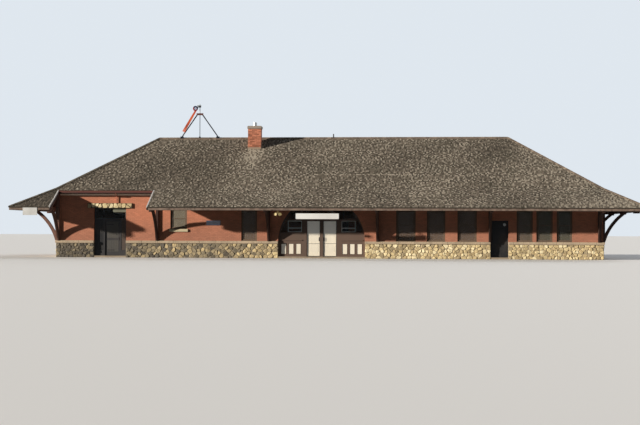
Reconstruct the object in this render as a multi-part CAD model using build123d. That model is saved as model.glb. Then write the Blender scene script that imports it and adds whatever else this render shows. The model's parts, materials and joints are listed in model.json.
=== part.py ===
from build123d import *
import os

# Railway station: one long brick storey on a fieldstone base, under a bell-cast hipped roof.
# Millimetres. Origin on the ground at the middle of the building, +X along it, front towards -Y.

# Body, with its length divided into equal bays
BODY_LENGTH = 31200
BODY_WIDTH = 10000
BAYS = 5
WALL_SETBACK = 30
WALL_THICKNESS = 320
FLOOR_TOP = 100
SEAM = 0.5

# Stone base and its cap course
CAP_TOP = 970
CAP_HEIGHT = 140
CAP_OUT = 50

# Roof, to the top of its deck
RIDGE_Z = 7215
BREAK_Z = 3975
EAVE_Z = 2875
OVERHANG = 2150
DECK_DEPTH = 190
LIP_DEPTH = 45
LIP_OUT = 55
FASCIA_THICKNESS = 25
FASCIA_BOTTOM = 2690
RIDGE_LEG = 170
RIDGE_THICKNESS = 25

# Freight recess, where the overhang is cut back to a short stub with a gutter
RECESS_INSET = 200
RECESS_SHIFT = -490
STUB_OUT = 250
BARGE_THICKNESS = 30
BARGE_FLANGE = 45
GUTTER_WIDTH = 110
GUTTER_DEPTH = 130
GUTTER_WALL = 5
GUTTER_DROP = 25
DOWNPIPE_SHIFT = 405
DOWNPIPE_RADIUS = 25
FRIEZE_TOP = 3660
FRIEZE_HEIGHT = 95
FRIEZE_THICKNESS = 40

# Knee brackets: bay line and distance from it
FRONT_BRACKET_PLACES = ((0, 120), (1, -340), (2, -130), (3, -170), (4, -90), (5, -260))
REAR_BRACKET_PLACES = ((0, 260), (1, 90), (2, 0), (3, 0), (4, -90), (5, -260))
END_BRACKET_INSET = 150
BRACKET_WIDTH = 150
POST_DEPTH = 110
BRACE_DEPTH = 170
BRACE_REACH = 1600
BRACE_SAGITTA = 270
RAFTER_DEPTH = 150
PLATE_IN = 1850
PLATE_WIDTH = 150
TOE_DEPTH = 90
TOE_LENGTH = 360

# Windows: bay line, distance of the middle from it, width and sill of each opening
WINDOW_HEAD = 2840
SMALL_SILL = 1650
FRONT_WINDOW_PLACES = (
    (1, 910, 960, SMALL_SILL),
    (2, -1260, 900, CAP_TOP),
    (3.5, -1690, 1100, CAP_TOP),
    (3.5, 15, 1030, CAP_TOP),
    (3.5, 1760, 1080, CAP_TOP),
    (4.5, -1265, 890, CAP_TOP),
    (4.5, -160, 900, CAP_TOP),
    (4.5, 950, 860, CAP_TOP),
)
REAR_WINDOW_PLACES = (
    (1, 910, 960, SMALL_SILL),
    (2, -1260, 900, CAP_TOP),
    (3.5, -1690, 1100, CAP_TOP),
    (3.5, 15, 1030, CAP_TOP),
    (4.5, -510, 860, CAP_TOP),
    (4.5, 950, 860, CAP_TOP),
)
END_WINDOW_INSET = 2650
END_WINDOW_WIDTH = 1100
REVEAL = 40
FRAME_BAR = 70
FRAME_DEPTH = 50
GLASS_THICKNESS = 8
GLASS_SET = 12
SCREEN_GLASS_SET = 36
BLIND_SET = 30
BLIND_THICKNESS = 4
SILL_HEIGHT = 160
SILL_OUT = 40
SILL_EAR = 60

# Doors: clearances, hinges and leaves
DOOR_GAP = 8
LEAF_LIFT = 15
LEAF_THICKNESS = 45
LEAF_STILE = 90
PANEL_RECESS = 10
PANEL_FOOT = 330
LOCK_RAIL_LOW = 900
LOCK_RAIL = 120
TOP_RAIL = 120
ENTRANCE_LOCK_LOW = 790
ENTRANCE_LOCK_RAIL = 110
FREIGHT_LOCK_LOW = 1000
HINGE_OFFSET = 14
KNUCKLE_RADIUS = 11
PIN_RADIUS = 6
PIN_CLEARANCE = 0.3
KNUCKLE_HEIGHT = 90
LUG_HEIGHT = 30
HINGE_LEAF = 50
HINGE_PLATE = 8
HINGE_INSET = 260
SCREEN_SET = 130
SCREEN_DEPTH = 90
SCREEN_BAR = 80

# Arched entrance in the middle of the front
ENTRANCE_SHIFT = -240
ARCH_RADIUS = 2480
ARCH_SIDE = 350
DOOR_HEAD = 2150
ENTRANCE_DOOR_IN = 85
ENTRANCE_DOOR_WIDTH = 766
SIDE_POST = 270
BULKHEAD_TOP = 1400
BULKHEAD_PANEL_LOW = 240
BULKHEAD_PANEL_HIGH = 830
BULKHEAD_PANEL_WIDTH = 290
BULKHEAD_PITCH = 420
BULKHEAD_MARGIN = 60
BULKHEAD_PANELS = 3
LUNETTE_RAIL = 90

# Freight doorway
FREIGHT_SHIFT = 25
FREIGHT_WIDTH = 1870
FREIGHT_HEAD = 2840
FREIGHT_LEAF_INSET = 610
FREIGHT_LEAF_WIDTH = 890
FREIGHT_LEAF_HEAD = 2190
LINTEL_BEARING = 365
LINTEL_HEIGHT = 280
LINTEL_OUT = 40

# Side doorway
SIDE_SHIFT = 450
SIDE_WIDTH = 1000
SIDE_HEAD = 2190
SIDE_JAMB = 65

# Rear doorways, closed by fixed doors: bay line, distance of the middle from it, width and head
REAR_DOORWAY_PLACES = (
    (0.5, FREIGHT_SHIFT, FREIGHT_WIDTH, FREIGHT_HEAD),
    (2.5, 10, 1500, SIDE_HEAD),
    (4, 900, SIDE_WIDTH, SIDE_HEAD),
)

# Chimney
CHIMNEY_SHIFT = -1470
CHIMNEY_WIDTH = 780
CHIMNEY_Y = -875
CHIMNEY_DEPTH = 550
CHIMNEY_TOP = 7700
CHIMNEY_CAP_HEIGHT = 170
CHIMNEY_CAP_OUT = 40
FLUE_RADIUS = 120
FLUE_WALL = 6
FLUE_UP = 220
FLUE_DOWN = 400

# Signal on the ridge
SIGNAL_SHIFT = 1260
SIGNAL_LEFT_SPREAD = 1100
SIGNAL_RIGHT_SPREAD = 1120
SIGNAL_BAR_RISE = 1465
SIGNAL_BAR_HALF = 200
SIGNAL_BAR_SIZE = 110
MAST_RADIUS = 20
LEG_RADIUS = 24
FOOT_LENGTH = 180
FOOT_WIDTH = 220
FOOT_HEIGHT = 70
ARM_OFFSET = 100
ARM_RISE = 1945
MAST_ABOVE_ARM = 130
ARM_DROOP = 60
ARM_LENGTH = 1800
ARM_PLATE = 14
ARM_ROOT = 110
ARM_TIP = 175
ARM_ROOT_AT = 330
SPECTACLE_AT = (-200, 80)
SPECTACLE_RADIUS = 140
SPECTACLE_HOLE = 85
ARM_HUB_RADIUS = 45
ARM_HUB_FLANGE = 18
ARM_HUB_LENGTH = 60
ARM_PIN_RADIUS = 16
ARM_BLOCK_HALF = 70
ARM_BLOCK_DEPTH = 50

# Ridge vent
VENT_SHIFT = 100
VENT_RADIUS = 35
VENT_HEIGHT = 210

# Boards and lamp
NAME_BOARD_SHIFT = -75
NAME_BOARD_LENGTH = 2390
NAME_BOARD_LOW = 2220
NAME_BOARD_HIGH = 2530
NAME_BOARD_THICKNESS = 40
NAME_BOARD_HANGER = 40
NAME_BOARD_INSET = 350
NOTICE_SHIFT = -910
NOTICE_LENGTH = 820
NOTICE_LOW = 2400
NOTICE_HIGH = 2830
NOTICE_THICKNESS = 20
WALL_BOARD_SHIFT = -205
WALL_BOARD_LENGTH = 810
WALL_BOARD_LOW = 1870
WALL_BOARD_HIGH = 2140
WALL_BOARD_THICKNESS = 30
LAMP_SHIFT = -2260
LAMP_Z = 2480
LAMP_SPREAD = 110
LAMP_RADIUS = 85
LAMP_LENGTH = 130
LAMP_STEM_RADIUS = 14

# Derived sizes
HALF_LENGTH = BODY_LENGTH / 2
HALF_WIDTH = BODY_WIDTH / 2
BAY_LENGTH = BODY_LENGTH / BAYS
INNER = WALL_SETBACK + WALL_THICKNESS
BASE_TOP = CAP_TOP - CAP_HEIGHT
MAIN_PITCH = (RIDGE_Z - BREAK_Z) / HALF_WIDTH
EAVE_PITCH = (BREAK_Z - EAVE_Z) / OVERHANG
SCREEN_FACE = -WALL_SETBACK - SCREEN_SET
SCREEN_BACK = SCREEN_FACE - SCREEN_DEPTH
FASCIA_BACK = OVERHANG - LIP_OUT
FASCIA_FRONT = FASCIA_BACK + FASCIA_THICKNESS
TALL = 2 * RIDGE_Z

SIDES = {
    "front": (Vector(0, -1, 0), HALF_WIDTH, HALF_LENGTH),
    "rear": (Vector(0, 1, 0), HALF_WIDTH, HALF_LENGTH),
    "left": (Vector(-1, 0, 0), HALF_LENGTH, HALF_WIDTH),
    "right": (Vector(1, 0, 0), HALF_LENGTH, HALF_WIDTH),
}


def bay_line(number):
    """Place of a bay line along the front, counted from 0 at the left corner."""
    return number * BAY_LENGTH - HALF_LENGTH


def opening_edges(line, shift, width):
    """Left and right edge of an opening whose middle is placed from a bay line."""
    middle = bay_line(line) + shift
    return middle - width / 2, middle + width / 2


# Derived places along the building
FRONT_BRACKETS = [bay_line(line) + shift for line, shift in FRONT_BRACKET_PLACES]
REAR_BRACKETS = [bay_line(line) + shift for line, shift in REAR_BRACKET_PLACES]
END_BRACKETS = (END_BRACKET_INSET - HALF_WIDTH, 0, HALF_WIDTH - END_BRACKET_INSET)
FRONT_WINDOWS = [(*opening_edges(*place[:3]), place[3]) for place in FRONT_WINDOW_PLACES]
REAR_WINDOWS = [(*opening_edges(*place[:3]), place[3]) for place in REAR_WINDOW_PLACES]
END_WINDOWS = [(middle - END_WINDOW_WIDTH / 2, middle + END_WINDOW_WIDTH / 2, CAP_TOP)
               for middle in (END_WINDOW_INSET - HALF_WIDTH, HALF_WIDTH - END_WINDOW_INSET)]
REAR_DOORWAYS = [(*opening_edges(*place[:3]), place[3]) for place in REAR_DOORWAY_PLACES]
RECESS_LEFT = bay_line(0) + RECESS_INSET
RECESS_RIGHT = bay_line(1) + RECESS_SHIFT
FREIGHT_LEFT, FREIGHT_RIGHT = opening_edges(0.5, FREIGHT_SHIFT, FREIGHT_WIDTH)
FREIGHT_LEAF_LEFT = FREIGHT_LEFT + FREIGHT_LEAF_INSET
FREIGHT_LEAF_RIGHT = FREIGHT_LEAF_LEFT + FREIGHT_LEAF_WIDTH
DOWNPIPE_X = (FREIGHT_LEFT + FREIGHT_RIGHT) / 2 + DOWNPIPE_SHIFT
ENTRANCE_X = bay_line(2.5) + ENTRANCE_SHIFT
SIDE_LEFT, SIDE_RIGHT = opening_edges(4, SIDE_SHIFT, SIDE_WIDTH)
CHIMNEY_X = bay_line(2) + CHIMNEY_SHIFT
SIGNAL_X = bay_line(1) + SIGNAL_SHIFT
SIGNAL_BAR_Z = RIDGE_Z + SIGNAL_BAR_RISE
ARM_X = SIGNAL_X - ARM_OFFSET
ARM_Z = RIDGE_Z + ARM_RISE
SIGNAL_TOP = ARM_Z + MAST_ABOVE_ARM
VENT_X = bay_line(2.5) + VENT_SHIFT
NAME_BOARD_LEFT = ENTRANCE_X + NAME_BOARD_SHIFT - NAME_BOARD_LENGTH / 2
NAME_BOARD_RIGHT = NAME_BOARD_LEFT + NAME_BOARD_LENGTH
NOTICE_LEFT, NOTICE_RIGHT = opening_edges(0, NOTICE_SHIFT, NOTICE_LENGTH)
LAMP_X = ENTRANCE_X + LAMP_SHIFT


def deck_top(out):
    """Height of the roof deck at a distance outside the wall plane."""
    return BREAK_Z - out * (EAVE_PITCH if out > 0 else MAIN_PITCH)


def deck_under(out):
    """Height of the underside of the roof deck."""
    return deck_top(out) - DECK_DEPTH


def block(x0, x1, y0, y1, z0, z1):
    """A box between two corners."""
    middle = Pos((x0 + x1) / 2, (y0 + y1) / 2, (z0 + z1) / 2)
    return middle * Box(x1 - x0, y1 - y0, z1 - z0)


def side_plane(side, along):
    """Plane across one side of the building: its x runs outwards and its y up."""
    outward, distance, _ = SIDES[side]
    run = Vector(abs(outward.Y), abs(outward.X), 0)
    origin = outward * distance + run * along
    return Plane(origin=origin, x_dir=outward, z_dir=outward.cross(Vector(0, 0, 1)))


def side_run(side, face, start, end):
    """Extrude an (outward, z) face along one side from start to end."""
    half = (end - start) / 2
    return extrude(side_plane(side, start + half) * face, half, both=True)


def side_block(side, start, end, out0, out1, z0, z1):
    """A box along one side, placed by its distance outside the wall plane."""
    low, high = sorted((out0, out1))
    return side_run(side, section_face((low, z0), (high, z0), (high, z1), (low, z1)), start, end)


def section_face(*points):
    """A closed face through points, always turned to face along its plane's normal."""
    following = points[1:] + points[:1]
    turn = sum(a[0] * b[1] - b[0] * a[1] for a, b in zip(points, following))
    return Polygon(*(points if turn > 0 else points[::-1]), align=None)


def mitre(side):
    """The plan wedge that belongs to one side, between its hip lines."""
    outward, distance, half = SIDES[side]
    far = OVERHANG * 2
    run = Vector(abs(outward.Y), abs(outward.X), 0)
    inner = max(half - distance, 0)
    depth = min(distance, half)
    edge = outward * (distance + far)
    ridge = outward * (distance - depth)
    wide = half + far
    corners = (edge - run * wide, edge + run * wide, ridge + run * inner, ridge - run * inner)
    if inner == 0:
        corners = corners[:3]
    return extrude(section_face(*[(c.X, c.Y) for c in corners]), TALL)


def under_roof():
    """The space below the roof deck over the walls, cut on all four slopes."""
    low, high = deck_under(0), RIDGE_Z - DECK_DEPTH
    ridge = HALF_LENGTH - HALF_WIDTH
    across = ((-HALF_WIDTH, 0), (HALF_WIDTH, 0), (HALF_WIDTH, low), (0, high), (-HALF_WIDTH, low))
    along = (
        (-HALF_LENGTH, 0), (HALF_LENGTH, 0), (HALF_LENGTH, low),
        (ridge, high), (-ridge, high), (-HALF_LENGTH, low),
    )
    gable = extrude(Plane.YZ * section_face(*across), HALF_LENGTH, both=True)
    return gable & extrude(Plane.XZ * section_face(*along), HALF_WIDTH, both=True)


def doorways():
    """Every opening that reaches the ground in the front: left, right and head."""
    return {
        "freight": (FREIGHT_LEFT, FREIGHT_RIGHT, FREIGHT_HEAD),
        "entrance": (ENTRANCE_X - ARCH_RADIUS, ENTRANCE_X + ARCH_RADIUS, CAP_TOP),
        "side": (SIDE_LEFT, SIDE_RIGHT, SIDE_HEAD),
    }


def gaps_to_runs(gaps, start, end):
    """Stretches that are left between gaps along a wall."""
    edges = [start]
    for left, right in sorted(gaps):
        edges += [left, right]
    edges.append(end)
    return list(zip(edges[::2], edges[1::2]))


def courses(z0, z1, out):
    """One masonry course round the building, broken at each doorway."""
    front = gaps_to_runs([d[:2] for d in doorways().values()], -HALF_LENGTH, HALF_LENGTH)
    rear = gaps_to_runs([d[:2] for d in REAR_DOORWAYS], -HALF_LENGTH, HALF_LENGTH)
    solids = []
    for side, runs in (("front", front), ("rear", rear)):
        for start, end in runs:
            start -= out if start == -HALF_LENGTH else 0
            end += out if end == HALF_LENGTH else 0
            solids.append(side_block(side, start, end, -INNER, out, z0, z1))
    reach = HALF_WIDTH - INNER - SEAM
    for side in ("left", "right"):
        solids.append(side_block(side, -reach, reach, -INNER, out, z0, z1))
    return solids


def floor_slab():
    """Floor inside the stone base."""
    x, y = HALF_LENGTH - INNER, HALF_WIDTH - INNER
    return [block(-x, x, -y, y, 0, FLOOR_TOP)]


def door_sills():
    """A stone threshold in each doorway, level with the floor."""
    front = [side_block("front", left, right, -INNER, 0, 0, FLOOR_TOP)
             for left, right, _ in doorways().values()]
    rear = [side_block("rear", left, right, -INNER, 0, 0, FLOOR_TOP)
            for left, right, _ in REAR_DOORWAYS]
    return front + rear


def window_hole(side, window):
    """The hole that one window makes through its wall."""
    left, right, sill = window
    return side_block(side, left, right, -INNER - 1, 0, sill, WINDOW_HEAD)


def lintel_block():
    """Rock-faced stone lintel over the freight doorway."""
    left, right = FREIGHT_LEFT - LINTEL_BEARING, FREIGHT_RIGHT + LINTEL_BEARING
    top = FREIGHT_HEAD + LINTEL_HEIGHT
    return side_block("front", left, right, -INNER, LINTEL_OUT, FREIGHT_HEAD, top)


def sill_block(side, window):
    """Stone sill under a window that stands above the cap course."""
    left, right, sill = window
    return side_block(side, left - SILL_EAR, right + SILL_EAR, -INNER, SILL_OUT,
                      sill - SILL_HEIGHT, sill)


def wall(side, start, end, z0, roof_space, cuts=()):
    """A stretch of brick wall up to the underside of the deck, less its openings."""
    solid = side_block(side, start, end, -INNER, -WALL_SETBACK, z0, RIDGE_Z) & roof_space
    for cut in cuts:
        solid -= cut
    return solid


def window_holes(side, windows, start, end):
    """The holes of the windows within one stretch of wall."""
    return [window_hole(side, w) for w in windows if start < w[0] and w[1] < end]


def front_walls(roof_space):
    """Brick front wall, split beside and over the doorways."""
    reach = HALF_LENGTH - WALL_SETBACK
    arch_left = ENTRANCE_X - ARCH_RADIUS - ARCH_SIDE
    arch_right = ENTRANCE_X + ARCH_RADIUS + ARCH_SIDE
    lintel = lintel_block()
    small_sill = sill_block("front", FRONT_WINDOWS[0])
    stretches = {
        "front_wall_left": (-reach, FREIGHT_LEFT, [lintel]),
        "front_wall_mid_left": (FREIGHT_RIGHT, arch_left, [lintel, small_sill]),
        "front_wall_mid_right": (arch_right, SIDE_LEFT, []),
        "front_wall_right": (SIDE_RIGHT, reach, []),
    }
    nodes = {}
    for name, (start, end, cuts) in stretches.items():
        holes = window_holes("front", FRONT_WINDOWS, start, end)
        nodes[name] = [wall("front", start, end, CAP_TOP, roof_space, holes + cuts)]
    nodes["front_wall_arch"] = [
        wall("front", arch_left, arch_right, CAP_TOP, roof_space, [arch_space(-INNER - 1, 0)])
    ]
    nodes["front_wall_over_doors"] = [
        wall("front", FREIGHT_LEFT, FREIGHT_RIGHT, FREIGHT_HEAD + LINTEL_HEIGHT, roof_space),
        wall("front", SIDE_LEFT, SIDE_RIGHT, SIDE_HEAD, roof_space),
    ]
    return nodes


def arch_face(radius, low):
    """The outline of the arched opening, seen from the front."""
    left, right = ENTRANCE_X - radius, ENTRANCE_X + radius
    top = CAP_TOP + radius
    outline = Polyline((left, CAP_TOP), (left, low), (right, low), (right, CAP_TOP))
    crown = ThreePointArc((right, CAP_TOP), (ENTRANCE_X, top), (left, CAP_TOP))
    return make_face(outline + crown)


def arch_space(out0, out1):
    """The arched opening as a solid between two depths."""
    face = Plane.XZ * arch_face(ARCH_RADIUS, FLOOR_TOP)
    return Pos(0, -HALF_WIDTH - out0, 0) * extrude(face, out1 - out0)


def rear_wall(roof_space):
    """Brick rear wall with its windows and doorways."""
    reach = HALF_LENGTH - WALL_SETBACK
    holes = window_holes("rear", REAR_WINDOWS, -reach, reach)
    holes += [side_block("rear", left, right, -INNER - 1, 0, CAP_TOP, head)
              for left, right, head in REAR_DOORWAYS]
    holes.append(sill_block("rear", REAR_WINDOWS[0]))
    return [wall("rear", -reach, reach, CAP_TOP, roof_space, holes)]


def end_walls(roof_space):
    """Brick end walls between the front and rear walls."""
    reach = HALF_WIDTH - INNER
    return [wall(side, -reach, reach, CAP_TOP, roof_space,
                 window_holes(side, END_WINDOWS, -reach, reach))
            for side in ("left", "right")]


def all_windows():
    """Every window with its side."""
    listed = [("front", w) for w in FRONT_WINDOWS] + [("rear", w) for w in REAR_WINDOWS]
    return listed + [(side, w) for side in ("left", "right") for w in END_WINDOWS]


def window_frame(side, window):
    """A timber frame round one window, set back in its reveal."""
    left, right, sill = window
    front = -WALL_SETBACK - REVEAL
    outer = side_block(side, left, right, front - FRAME_DEPTH, front, sill, WINDOW_HEAD)
    return outer - side_block(side, left + FRAME_BAR, right - FRAME_BAR, front - FRAME_DEPTH - 1,
                              front + 1, sill + FRAME_BAR, WINDOW_HEAD - FRAME_BAR)


def window_pane(side, window):
    """The glass of one window, seated in its frame."""
    left, right, sill = window
    face = -WALL_SETBACK - REVEAL - GLASS_SET
    return side_block(side, left + FRAME_BAR, right - FRAME_BAR, face - GLASS_THICKNESS, face,
                      sill + FRAME_BAR, WINDOW_HEAD - FRAME_BAR)


def window_blind(side, window):
    """A drawn blind close behind the glass of one frame."""
    left, right, sill = window
    face = -WALL_SETBACK - REVEAL - BLIND_SET
    return side_block(side, left + FRAME_BAR, right - FRAME_BAR, face - BLIND_THICKNESS, face,
                      sill + FRAME_BAR, WINDOW_HEAD - FRAME_BAR)


def sills():
    """Stone sills of the two small windows."""
    return [sill_block("front", FRONT_WINDOWS[0]), sill_block("rear", REAR_WINDOWS[0])]


def screen_block(left, right, z0, z1, depth=SCREEN_DEPTH, face=SCREEN_FACE):
    """A box in the plane of the front door screens."""
    return side_block("front", left, right, face - depth, face, z0, z1)


def hinge_axis(jamb, direction):
    """Plan place of a hinge pin: jamb is the frame's edge, direction runs into the leaf."""
    return jamb + direction * DOOR_GAP / 2, -(HALF_WIDTH + SCREEN_BACK) + HINGE_OFFSET


def hinge(jamb, direction, z):
    """One hinge: the leaf's knuckle, and the frame's pin with a lug above and below."""
    x, y = hinge_axis(jamb, direction)
    face = y - HINGE_OFFSET
    tall = KNUCKLE_HEIGHT / 2
    bore = Pos(x, y, z) * Cylinder(PIN_RADIUS + PIN_CLEARANCE, KNUCKLE_HEIGHT * 2)
    plate_x = sorted((x, x + direction * HINGE_LEAF))
    knuckle = Pos(x, y, z) * Cylinder(KNUCKLE_RADIUS, KNUCKLE_HEIGHT)
    knuckle += block(*plate_x, face, face + HINGE_PLATE, z - tall, z + tall)
    pin = Pos(x, y, z) * Cylinder(PIN_RADIUS, KNUCKLE_HEIGHT + LUG_HEIGHT)
    for way in (-1, 1):
        middle = z + way * (tall + PIN_CLEARANCE + LUG_HEIGHT / 2)
        lug_x = sorted((x, x - direction * HINGE_LEAF))
        pin += Pos(x, y, middle) * Cylinder(KNUCKLE_RADIUS, LUG_HEIGHT)
        pin += block(*lug_x, face, face + HINGE_PLATE, middle - LUG_HEIGHT / 2,
                     middle + LUG_HEIGHT / 2)
    return knuckle - bore, pin


def hinge_heights(head):
    """Heights of the two hinges of a door under a head."""
    return FLOOR_TOP + HINGE_INSET, head - HINGE_INSET


def door_leaf(left, right, head, hinged_left, panels):
    """A framed leaf with sunk panels, given as (low, high) pairs, and its knuckles."""
    x0, x1 = left + DOOR_GAP, right - DOOR_GAP
    z0, z1 = FLOOR_TOP + LEAF_LIFT, head - DOOR_GAP
    front = SCREEN_BACK + LEAF_THICKNESS
    leaf = side_block("front", x0, x1, SCREEN_BACK, front, z0, z1)
    for low, high in panels:
        for face in (front, SCREEN_BACK + PANEL_RECESS):
            leaf -= side_block("front", x0 + LEAF_STILE, x1 - LEAF_STILE,
                               face - PANEL_RECESS, face, low, high)
    jamb, direction = (left, 1) if hinged_left else (right, -1)
    for z in hinge_heights(head):
        leaf += hinge(jamb, direction, z)[0]
    return leaf


def add_pins(frame, left, right, head, hinged_left):
    """A door frame with the pins that its leaf hangs on."""
    jamb, direction = (left, 1) if hinged_left else (right, -1)
    for z in hinge_heights(head):
        frame += hinge(jamb, direction, z)[1]
    return frame


def door_panels(lock_low, lock_rail, head):
    """Heights of a door's two rows of panels, below and above its lock rail."""
    return (PANEL_FOOT, lock_low), (lock_low + lock_rail, head - TOP_RAIL)


def entrance_doors():
    """Left and right edges of the two doorways in the arched screen."""
    left = ENTRANCE_X - ENTRANCE_DOOR_IN
    right = ENTRANCE_X + ENTRANCE_DOOR_IN
    return (left - ENTRANCE_DOOR_WIDTH, left), (right, right + ENTRANCE_DOOR_WIDTH)


def lunette_face():
    """Glazed half circle above the door heads."""
    radius = ARCH_RADIUS - SCREEN_BAR
    low = DOOR_HEAD + LUNETTE_RAIL
    keep = Pos(ENTRANCE_X, low + radius) * Rectangle(4 * radius, 2 * radius)
    return (Pos(ENTRANCE_X, CAP_TOP) * Circle(radius)) & keep


def sidelight_faces():
    """Glazed fields beside the doors, under the door head and inside the arch."""
    radius = ARCH_RADIUS - SCREEN_BAR
    post = ENTRANCE_DOOR_IN + ENTRANCE_DOOR_WIDTH + SIDE_POST
    low, high = BULKHEAD_TOP + LUNETTE_RAIL, DOOR_HEAD
    disc = Pos(ENTRANCE_X, CAP_TOP) * Circle(radius)
    faces = []
    for way in (-1, 1):
        middle = ENTRANCE_X + way * (post + radius)
        faces.append(disc & Pos(middle, (low + high) / 2) * Rectangle(2 * radius, high - low))
    return faces


def bulkhead_panels():
    """Edges of the sunk panels in the bulkheads on both sides of the doors."""
    first = ENTRANCE_DOOR_IN + ENTRANCE_DOOR_WIDTH + SIDE_POST + BULKHEAD_PANEL_WIDTH / 2 + BULKHEAD_MARGIN
    for way in (-1, 1):
        for index in range(BULKHEAD_PANELS):
            middle = ENTRANCE_X + way * (first + index * BULKHEAD_PITCH)
            yield middle - BULKHEAD_PANEL_WIDTH / 2, middle + BULKHEAD_PANEL_WIDTH / 2


def screen_cut(face, out0, out1):
    """Extrude a face drawn in the front view between two depths."""
    return Pos(0, -HALF_WIDTH - out0, 0) * extrude(Plane.XZ * face, out1 - out0)


def entrance_screen():
    """Timber screen that fills the arch round the two doors."""
    screen = screen_cut(arch_face(ARCH_RADIUS, FLOOR_TOP), SCREEN_BACK, SCREEN_FACE)
    for left, right in entrance_doors():
        screen -= screen_block(left, right, FLOOR_TOP - 1, DOOR_HEAD)
    for face in [lunette_face()] + sidelight_faces():
        screen -= screen_cut(face, SCREEN_BACK - 1, SCREEN_FACE + 1)
    for left, right in bulkhead_panels():
        screen -= screen_block(left, right, BULKHEAD_PANEL_LOW, BULKHEAD_PANEL_HIGH,
                               2 * PANEL_RECESS)
    doors = entrance_doors()
    screen = add_pins(screen, *doors[0], DOOR_HEAD, True)
    return [add_pins(screen, *doors[1], DOOR_HEAD, False)]


def entrance_glass():
    """Panes of the lunette and the two sidelights."""
    face = SCREEN_FACE - SCREEN_GLASS_SET
    return [screen_cut(f, face - GLASS_THICKNESS, face) for f in [lunette_face()] + sidelight_faces()]


def entrance_leaves():
    """The two glazed-looking entrance leaves, hung on the outer posts."""
    panels = door_panels(ENTRANCE_LOCK_LOW, ENTRANCE_LOCK_RAIL, DOOR_HEAD)
    doors = entrance_doors()
    return {
        "entrance_door_left": [door_leaf(*doors[0], DOOR_HEAD, True, panels)],
        "entrance_door_right": [door_leaf(*doors[1], DOOR_HEAD, False, panels)],
    }


def freight_panels():
    """Sunk boarded fields beside the freight leaf: left, right, low and high."""
    low, high = FLOOR_TOP + 4 * SCREEN_BAR, FREIGHT_LEAF_HEAD
    return (
        (FREIGHT_LEFT + SCREEN_BAR, FREIGHT_LEAF_LEFT - SCREEN_BAR, low, high),
        (FREIGHT_LEAF_RIGHT + SCREEN_BAR, FREIGHT_RIGHT - SCREEN_BAR, low, high),
    )


def freight_transom():
    """Glazed field over the freight leaf: left, right, low and high."""
    return (FREIGHT_LEFT + SCREEN_BAR, FREIGHT_RIGHT - SCREEN_BAR,
            FREIGHT_LEAF_HEAD + SCREEN_BAR, FREIGHT_HEAD - SCREEN_BAR)


def freight_screen():
    """Dark screen round the freight door, with a transom and boarded sides."""
    screen = screen_block(FREIGHT_LEFT, FREIGHT_RIGHT, FLOOR_TOP, FREIGHT_HEAD)
    screen -= screen_block(FREIGHT_LEAF_LEFT, FREIGHT_LEAF_RIGHT, FLOOR_TOP - 1, FREIGHT_LEAF_HEAD)
    screen -= screen_block(*freight_transom())
    for panel in freight_panels():
        screen -= screen_block(*panel, 2 * PANEL_RECESS)
    return [add_pins(screen, FREIGHT_LEAF_LEFT, FREIGHT_LEAF_RIGHT, FREIGHT_LEAF_HEAD, True)]


def freight_glass():
    """Pane of the freight transom."""
    return [screen_block(*freight_transom(), GLASS_THICKNESS, SCREEN_FACE - SCREEN_GLASS_SET)]


def freight_leaf():
    """The freight door's leaf."""
    panels = door_panels(FREIGHT_LOCK_LOW, LOCK_RAIL, FREIGHT_LEAF_HEAD)
    return [door_leaf(FREIGHT_LEAF_LEFT, FREIGHT_LEAF_RIGHT, FREIGHT_LEAF_HEAD, True, panels)]


def side_door():
    """The side door's frame and leaf."""
    left, right, head = SIDE_LEFT + SIDE_JAMB, SIDE_RIGHT - SIDE_JAMB, SIDE_HEAD - SIDE_JAMB
    frame = screen_block(SIDE_LEFT, SIDE_RIGHT, FLOOR_TOP, SIDE_HEAD)
    frame -= screen_block(left, right, FLOOR_TOP - 1, head)
    frame = add_pins(frame, left, right, head, True)
    panels = door_panels(LOCK_RAIL_LOW, LOCK_RAIL, head)
    leaf = door_leaf(left, right, head, True, panels)
    return {"side_door_frame": [frame], "side_door_leaf": [leaf]}


def rear_doors():
    """Fixed panelled doors that close the rear doorways."""
    doors = []
    for left, right, head in REAR_DOORWAYS:
        door = side_block("rear", left, right, SCREEN_BACK, SCREEN_FACE, FLOOR_TOP, head)
        leaves = 2 if right - left > SIDE_WIDTH + SCREEN_BAR else 1
        width = (right - left) / leaves
        for index in range(leaves):
            for low, high in door_panels(LOCK_RAIL_LOW, LOCK_RAIL, head):
                door -= side_block("rear", left + index * width + 1.5 * SCREEN_BAR,
                                   left + (index + 1) * width - 1.5 * SCREEN_BAR,
                                   SCREEN_FACE - PANEL_RECESS, SCREEN_FACE + 1, low, high)
        doors.append(door)
    return doors


def post_face():
    """Outline of a bracket's wall post, up to the deck."""
    wall, face = -WALL_SETBACK, POST_DEPTH - WALL_SETBACK
    return section_face((wall, CAP_TOP), (face, CAP_TOP), (face, deck_under(face)),
                        (0, deck_under(0)), (wall, deck_under(0)))


def outrigger_face():
    """Outline of the outrigger under the deck, with the toe that carries the plate."""
    root = POST_DEPTH - WALL_SETBACK
    beam = section_face((root, deck_under(root) - RAFTER_DEPTH), (root, deck_under(root)),
                        (PLATE_IN, deck_under(PLATE_IN)),
                        (PLATE_IN, deck_under(PLATE_IN) - RAFTER_DEPTH))
    toe_end = PLATE_IN + PLATE_WIDTH
    toe = section_face((toe_end - TOE_LENGTH, FASCIA_BOTTOM - TOE_DEPTH),
                       (toe_end, FASCIA_BOTTOM - TOE_DEPTH), (toe_end, FASCIA_BOTTOM),
                       (toe_end - TOE_LENGTH, FASCIA_BOTTOM + RAFTER_DEPTH / 2))
    toe -= section_face((PLATE_IN, FASCIA_BOTTOM), (toe_end, FASCIA_BOTTOM),
                        (toe_end, FASCIA_BOTTOM + RAFTER_DEPTH), (PLATE_IN, FASCIA_BOTTOM + RAFTER_DEPTH))
    return beam + toe


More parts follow.
